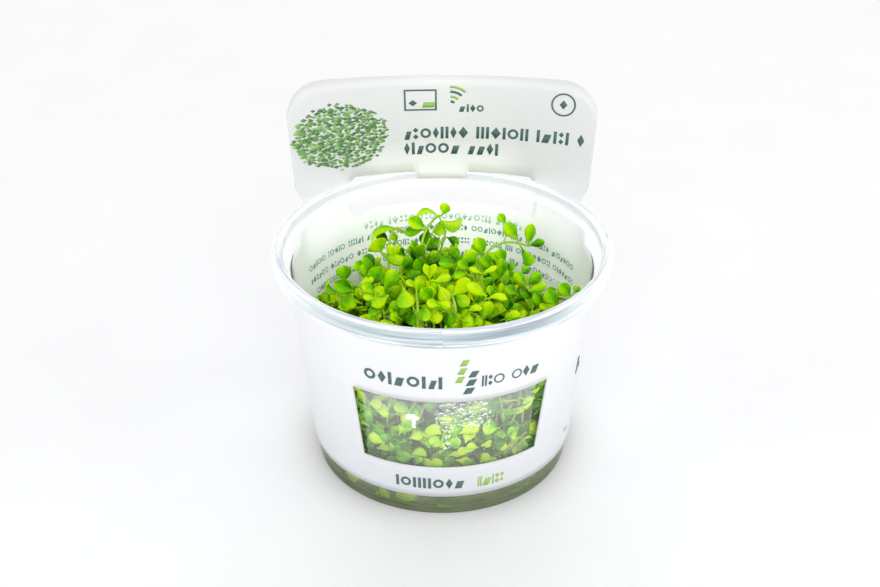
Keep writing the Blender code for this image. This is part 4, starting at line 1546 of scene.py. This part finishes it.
def placed_leaf(heap, stems, path, foot_x, foot_y, tip_x, tip_y, width, tint, form="flat",
                forward=0, roll=0):
    """A leaf on the nearest place of its stem, with a petiole where the two are apart."""
    near = min(path, key=lambda p: math.dist(pixel(p), (foot_x, foot_y)))
    loose = math.dist(pixel(near), (foot_x, foot_y)) > LOOSE_PIXELS
    depth = blend(near.y, canopy_depth(foot_y), 0.5) if loose else near.y
    foot = sight(foot_x, foot_y, depth)
    tip = sight(tip_x, tip_y, depth - forward * MM)
    ahead = (tip - foot).normalized()
    facing = (VIEW_FROM - foot).normalized()
    facing = (facing - ahead * facing.dot(ahead)).normalized()
    side = ahead.cross(facing)
    if side.z < 0.0 or (abs(side.z) < 0.1 and side.x < 0.0):
        side = -side
    turn = math.radians(roll)
    normal = facing * math.cos(turn) + side * math.sin(turn)
    shape = ((tip - foot).length, width * MM, *FORMS[form], 0.04, foot_x)
    add_leaf(heap, shape, foot, (ahead, normal.cross(ahead), normal), tint)
    if (foot - near).length > PETIOLE_HALF:
        start = branch_place(path, foot) if loose else near
        middle = foot.lerp(start, 0.4) - ahead * 0.25 * (foot - start).length
        petiole = line_of((start, middle, foot + ahead * PETIOLE_HALF), 8)
        tube(stems, petiole, 0.9 * PETIOLE_HALF, 6, 0.6)


def grow_stem(leaves, stems, path, rows, radius, sides):
    """A stem's leaves, and the stem itself, going on down into the carpet."""
    for row in rows:
        placed_leaf(leaves, stems, path, *row)
    steps = len(path) - 1
    path = rooted(path)
    radii = [radius * min(1.0, blend(STEM_TIP, 1.0, i / steps)) for i in range(len(path))]
    tube(stems, path, radii, sides)


def build_shoots(leaf_stuff, stem_stuff):
    for name, (((x, y), *controls), *rows) in SHOOTS.items():
        x, y = mm(x, y)
        start = Vector((x, y, carpet_top(x, y) + STEM_SEAT))
        curve = [start, *(Vector(point) * MM for point in controls)]
        leaves = Heap()
        stems = Heap()
        grow_stem(leaves, stems, line_of(curve, 24)[::-1], rows, STEM_RADIUS, 8)
        finished(stems.piece(name + "_stem_fine", stem_stuff), "stem_green", name + "_stem")
        nodes = [f"{name}_leaf_{i + 1}" for i in range(len(rows))]
        finished(leaves.piece(name + "_leaves", leaf_stuff), "leaf_green", *nodes)


def build_sprays(leaf_stuff, stem_stuff):
    leaves = Heap()
    stems = Heap()
    for stem, *rows in SPRAYS.values():
        depth = canopy_depth(stem[-1][1] - 14)
        path = line_of([sight(x, y, depth) for x, y in stem], 10)
        grow_stem(leaves, stems, path, rows, SPRAY_STEM, 7)
    finished(leaves.piece("spray_leaves", leaf_stuff), "leaf_green")
    finished(stems.piece("spray_stems", stem_stuff), "stem_green")


def starts(draw):
    """Where the shoots leave the gel: a hexagonal grid, shaken."""
    reach = wall_inside(GEL_TOP) - 2.5 * MM
    places = []
    rows = int(reach / ROW_SPACING) + 1
    for j in range(-rows, rows + 1):
        for i in range(-rows - 1, rows + 2):
            x = (i + 0.5 * (j % 2)) * SHOOT_SPACING + draw.uniform(-0.3, 0.3) * SHOOT_SPACING
            y = j * ROW_SPACING + draw.uniform(-0.3, 0.3) * SHOOT_SPACING
            if math.hypot(x, y) < reach:
                places.append((x, y))
    return places


def grow_shoot(quarters, curve, by_window, draw):
    """Leaf pairs down one shoot of the carpet, each pair across the one before."""
    length = curve[-1].z - curve[0].z
    turn = draw.uniform(0.0, math.tau)
    for number, (depth, size, climb) in enumerate(NODES):
        if depth > DEEPEST_LEAF and not by_window:
            continue
        share = 1.0 - (depth + draw.uniform(-0.6, 0.6)) * MM / length
        if share < 0.12 or share > 1.0:
            share = min(max(share, 0.12), 0.99)
        place = along(curve, share)
        size = size * draw.uniform(0.85, 1.2) * MM
        quarter = int((math.atan2(place.y, place.x) + math.pi) / math.tau * 3.999)
        for half in (0.0, math.pi):
            heading = turn + number * 0.5 * math.pi + half + draw.uniform(-0.35, 0.35)
            lift = math.radians(climb + draw.uniform(-18, 18))
            tint = draw.uniform(0.1, 0.75) + (0.25 if number < 2 else 0.0)
            # Painted shade: leaves deeper in the carpet are darker.
            tint *= blend(0.2, 1.0, smooth_step(-15.0, -1.5, -depth))
            turned_by = Matrix.Rotation(heading, 3, "Z") @ Matrix.Rotation(-lift, 3, "Y")
            turned_by = turned_by @ Matrix.Rotation(draw.uniform(-0.4, 0.4), 3, "X")
            add_leaf(quarters[quarter], random_shape(draw, size), place,
                     turned_by.transposed(), tint, keep_clear=True)


def build_carpet(leaf_stuff, stem_stuff):
    draw = random.Random(7)
    quarters = [Heap() for _ in CLUMPS]
    stems = Heap()
    spread = wall_inside(CARPET_RIM) / wall_inside(GEL_TOP)
    most = wall_inside(CARPET_RIM) - 1.6 * MM
    for x, y in starts(draw):
        tip_x = x * spread + draw.uniform(-3.0, 3.0) * MM
        tip_y = y * spread + draw.uniform(-3.0, 3.0) * MM
        far = math.hypot(tip_x, tip_y)
        if far > most:
            tip_x *= most / far
            tip_y *= most / far
        top = carpet_top(tip_x, tip_y) + draw.uniform(-4.5, -1.0) * MM
        low = Vector((x, y, GEL_TOP - 1.0 * MM))
        tip = Vector((tip_x, tip_y, top))
        bow = Vector((draw.uniform(-3, 3), draw.uniform(-3, 3), 0.0)) * MM
        curve = [low, low.lerp(tip, 0.35) + bow, low.lerp(tip, 0.75) - bow, tip]
        thick = draw.uniform(0.3, 0.42) * MM
        radii = [thick * blend(1.0, 0.6, i / SHOOT_STEPS) for i in range(SHOOT_STEPS + 1)]
        tube(stems, line_of(curve, SHOOT_STEPS), radii, 5, draw.uniform(0.2, 0.8))
        aside = abs(math.atan2(tip_x, -tip_y) - WINDOW_CENTRE)
        grow_shoot(quarters, curve, aside < WINDOW_VIEW and far > 20 * MM, draw)
    for number, (heap, clumps) in enumerate(zip(quarters, CLUMPS), 1):
        piece = heap.piece(f"carpet_leaves_{number}", leaf_stuff)
        finished(piece, "leaf_green", *clumps)
    finished(stems.piece("carpet_stems", stem_stuff), "stem_green")


def wall_place(angle, height, inward):
    """A place on the inside of the cup's wall. The angle is from the front, in radians."""
    radius = wall_inside(height) - inward
    return Vector((radius * math.sin(angle), -radius * math.cos(angle), height))


def press_leaves(heap, draw, leaf_count, angles, heights, tints, lengths, depths):
    """Leaves that lie flat against the inside of the cup's wall."""
    for _ in range(leaf_count):
        angle = math.radians(draw.uniform(*angles))
        height = draw.uniform(*heights) * MM
        length = draw.uniform(*lengths) * MM
        base = wall_place(angle, height, draw.uniform(*depths) * MM)
        out = Vector((math.sin(angle), -math.cos(angle), -WALL_TAPER)).normalized()
        side = Vector((math.cos(angle), math.sin(angle), 0.0))
        up = out.cross(side)
        turn = draw.uniform(-1.9, 1.9)
        ahead = up * math.cos(turn) + side * math.sin(turn)
        normal = out + side * draw.uniform(-0.35, 0.35) + up * draw.uniform(-0.3, 0.5)
        normal = normal.normalized()
        if draw.random() < 0.35:
            normal = -normal
        ahead = (ahead - normal * ahead.dot(normal)).normalized()
        shape = (
            length, length * draw.uniform(0.8, 1.0), draw.uniform(-0.05, 0.2), 0.0,
            draw.uniform(-0.2, 0.4), draw.uniform(1.2, 1.7), draw.uniform(0.0, 0.08),
            draw.uniform(0.0, math.tau))
        add_leaf(heap, shape, base, (ahead, normal.cross(ahead), normal), draw.uniform(*tints))


def build_pressed_leaves(leaf_stuff):
    draw = random.Random(21)
    wall = Heap()
    for leaves in WINDOW_LEAVES:
        press_leaves(wall, draw, *leaves)
    finished(wall.piece("window_leaves", leaf_stuff), "leaf_green")
    sunk = Heap()
    press_leaves(sunk, draw, *DEEP_LEAVES)
    for angle, height in SUNKEN_LEAVES:
        press_leaves(sunk, draw, 2, (angle - 2, angle + 2), (height - 0.5, height + 0.5),
                     (0.8, 1.1), (4.6, 6.0), (0.1, 0.5))
    finished(sunk.piece("sunken_leaves", leaf_stuff), "leaf_green")


def build_plants():
    leaf_stuff = leaf_material()
    stem_stuff = stem_material()
    build_shoots(leaf_stuff, stem_stuff)
    build_sprays(leaf_stuff, stem_stuff)
    build_carpet(leaf_stuff, stem_stuff)
    build_pressed_leaves(leaf_stuff)


def add_drop(heap, angle, height, radius, stretch, painted_glint):
    """A bead of water on the wall: rings from its foot up to its top."""
    centre = wall_place(angle, height, DROP_LIFT)
    inward = Vector((-math.sin(angle), math.cos(angle), 0.0))
    side = Vector((math.cos(angle), math.sin(angle), 0.0))
    up = Vector((WALL_TAPER * math.sin(angle), -WALL_TAPER * math.cos(angle), 1.0)).normalized()
    points = []
    marks = []
    for rise in DROP_RISES:
        wide = radius * math.sqrt(1.0 - rise * rise)
        for k in range(DROP_SIDES):
            spin = math.tau * k / DROP_SIDES
            flat = side * math.cos(spin) + up * (math.sin(spin) * stretch)
            points.append(centre + flat * wide + inward * (DROP_HEIGHT * radius * rise))
            marks.append((1.0 - rise, math.sin(spin) * (1.0 - rise), painted_glint))
    points += [centre, centre + inward * (DROP_HEIGHT * radius)]
    marks += [(0.0, 0.0, painted_glint)] * 2
    heap.add(points, ring_faces(len(DROP_RISES), DROP_SIDES), marks)


def build_condensation():
    """Beads on the wall behind the window, and a finer dew on the far side."""
    draw = random.Random(11)
    beads = Heap()
    taken = []
    for angles, heights, sizes, count, painted_glint in DEW:
        for _ in range(count):
            angle = math.radians(draw.uniform(*angles))
            height = draw.uniform(*heights) * MM
            radius = draw.uniform(*sizes) * MM
            place = wall_place(angle, height, 0.0)
            apart = radius * (1.0 - 0.6 * painted_glint)
            if all((place - other).length >= apart + reach for other, reach in taken):
                taken.append((place, apart))
                add_drop(beads, angle, height, radius, draw.uniform(0.8, 1.25), painted_glint)
    finished(beads.piece("condensation_beads", water_material()), "gel")


def build_roots():
    """Pale roots that lie against the wall, low in the window."""
    draw = random.Random(31)
    roots = Heap()
    for angles, heights, count in ROOT_PLACES:
        for _ in range(count):
            angle = draw.uniform(*angles)
            height = draw.uniform(*heights)
            path = []
            for _ in range(8):
                low = max(height * MM, GEL_TOP + 0.5 * MM)
                inward = draw.uniform(0.6, 1.0) * MM
                path.append(wall_place(math.radians(angle), low, inward))
                angle += draw.uniform(-2.4, 2.4)
                height -= draw.uniform(-0.6, 1.6)
            tube(roots, path, [draw.uniform(0.12, 0.2) * MM] * 8, 5, draw.random())
    finished(roots.piece("pale_roots", root_material()), "stem_green")


def build_window_stems():
    """Bare stems behind the window."""
    stems = Heap()
    for (top, top_height), (foot, foot_height) in BARE_STEMS:
        start = wall_place(math.radians(top), top_height * MM, 1.4 * MM)
        end = wall_place(math.radians(foot), foot_height * MM, 2.2 * MM)
        bend = start.lerp(end, 0.5)
        bend = Vector((bend.x * 1.04, bend.y * 1.04, bend.z))
        tube(stems, line_of((start, bend, end), 10), 0.34 * MM, 6, 0.8)
    finished(stems.piece("window_stems", stem_material()), "stem_green")


# ------------------------------------------------------------ stage and view


def build_stage():
    half = 3.0
    points = [(-half, -half, 0.0), (half, -half, 0.0), (half, half, 0.0), (-half, half, 0.0)]
    floor = piece_from("floor", points, [(0, 1, 2, 3)], [floor_material()], smooth=False)


def add_light(name, place, size, power):
    lamp = bpy.data.lights.new(name, "AREA")
    lamp.shape = "RECTANGLE"
    lamp.size, lamp.size_y = size
    lamp.energy = power
    made = placed(bpy.data.objects.new(name, lamp))
    made.location = place
    aim = LIGHTS_AIM - made.location
    made.rotation_euler = aim.to_track_quat("-Z", "Y").to_euler()


def build_lights():
    world = bpy.data.worlds.new("studio")
    world.use_nodes = True
    inputs = {"Color": (0.98, 0.99, 1.0), "Strength": 0.47}
    fill(world.node_tree, world.node_tree.nodes["Background"], inputs)
    bpy.context.scene.world = world
    add_light("front_box", (0.05, -0.8, 0.66), (1.0, 0.8), 4.4)
    add_light("back_box", (0.0, 0.75, 0.75), (1.6, 1.0), 4.9)
    add_light("left_box", (-0.9, -0.2, 0.5), (0.8, 0.8), 1.9)
    add_light("right_box", (0.9, -0.2, 0.5), (0.8, 0.8), 2.4)


def build_camera():
    lens = bpy.data.cameras.new("camera")
    lens.lens = CAMERA_LENS
    lens.sensor_width = CAMERA_SENSOR
    lens.clip_start = 0.01
    camera = placed(bpy.data.objects.new("camera", lens))
    camera.location = CAMERA_PLACE
    camera.rotation_euler = (VIEW_TILT, 0.0, 0.0)
    bpy.context.scene.camera = camera
    bpy.context.scene.view_settings.view_transform = "Standard"


build_camera()
build_stage()
build_lights()
build_cup()
build_gel()
build_card()
build_prints()
build_plants()
build_condensation()
build_roots()
build_window_stems()
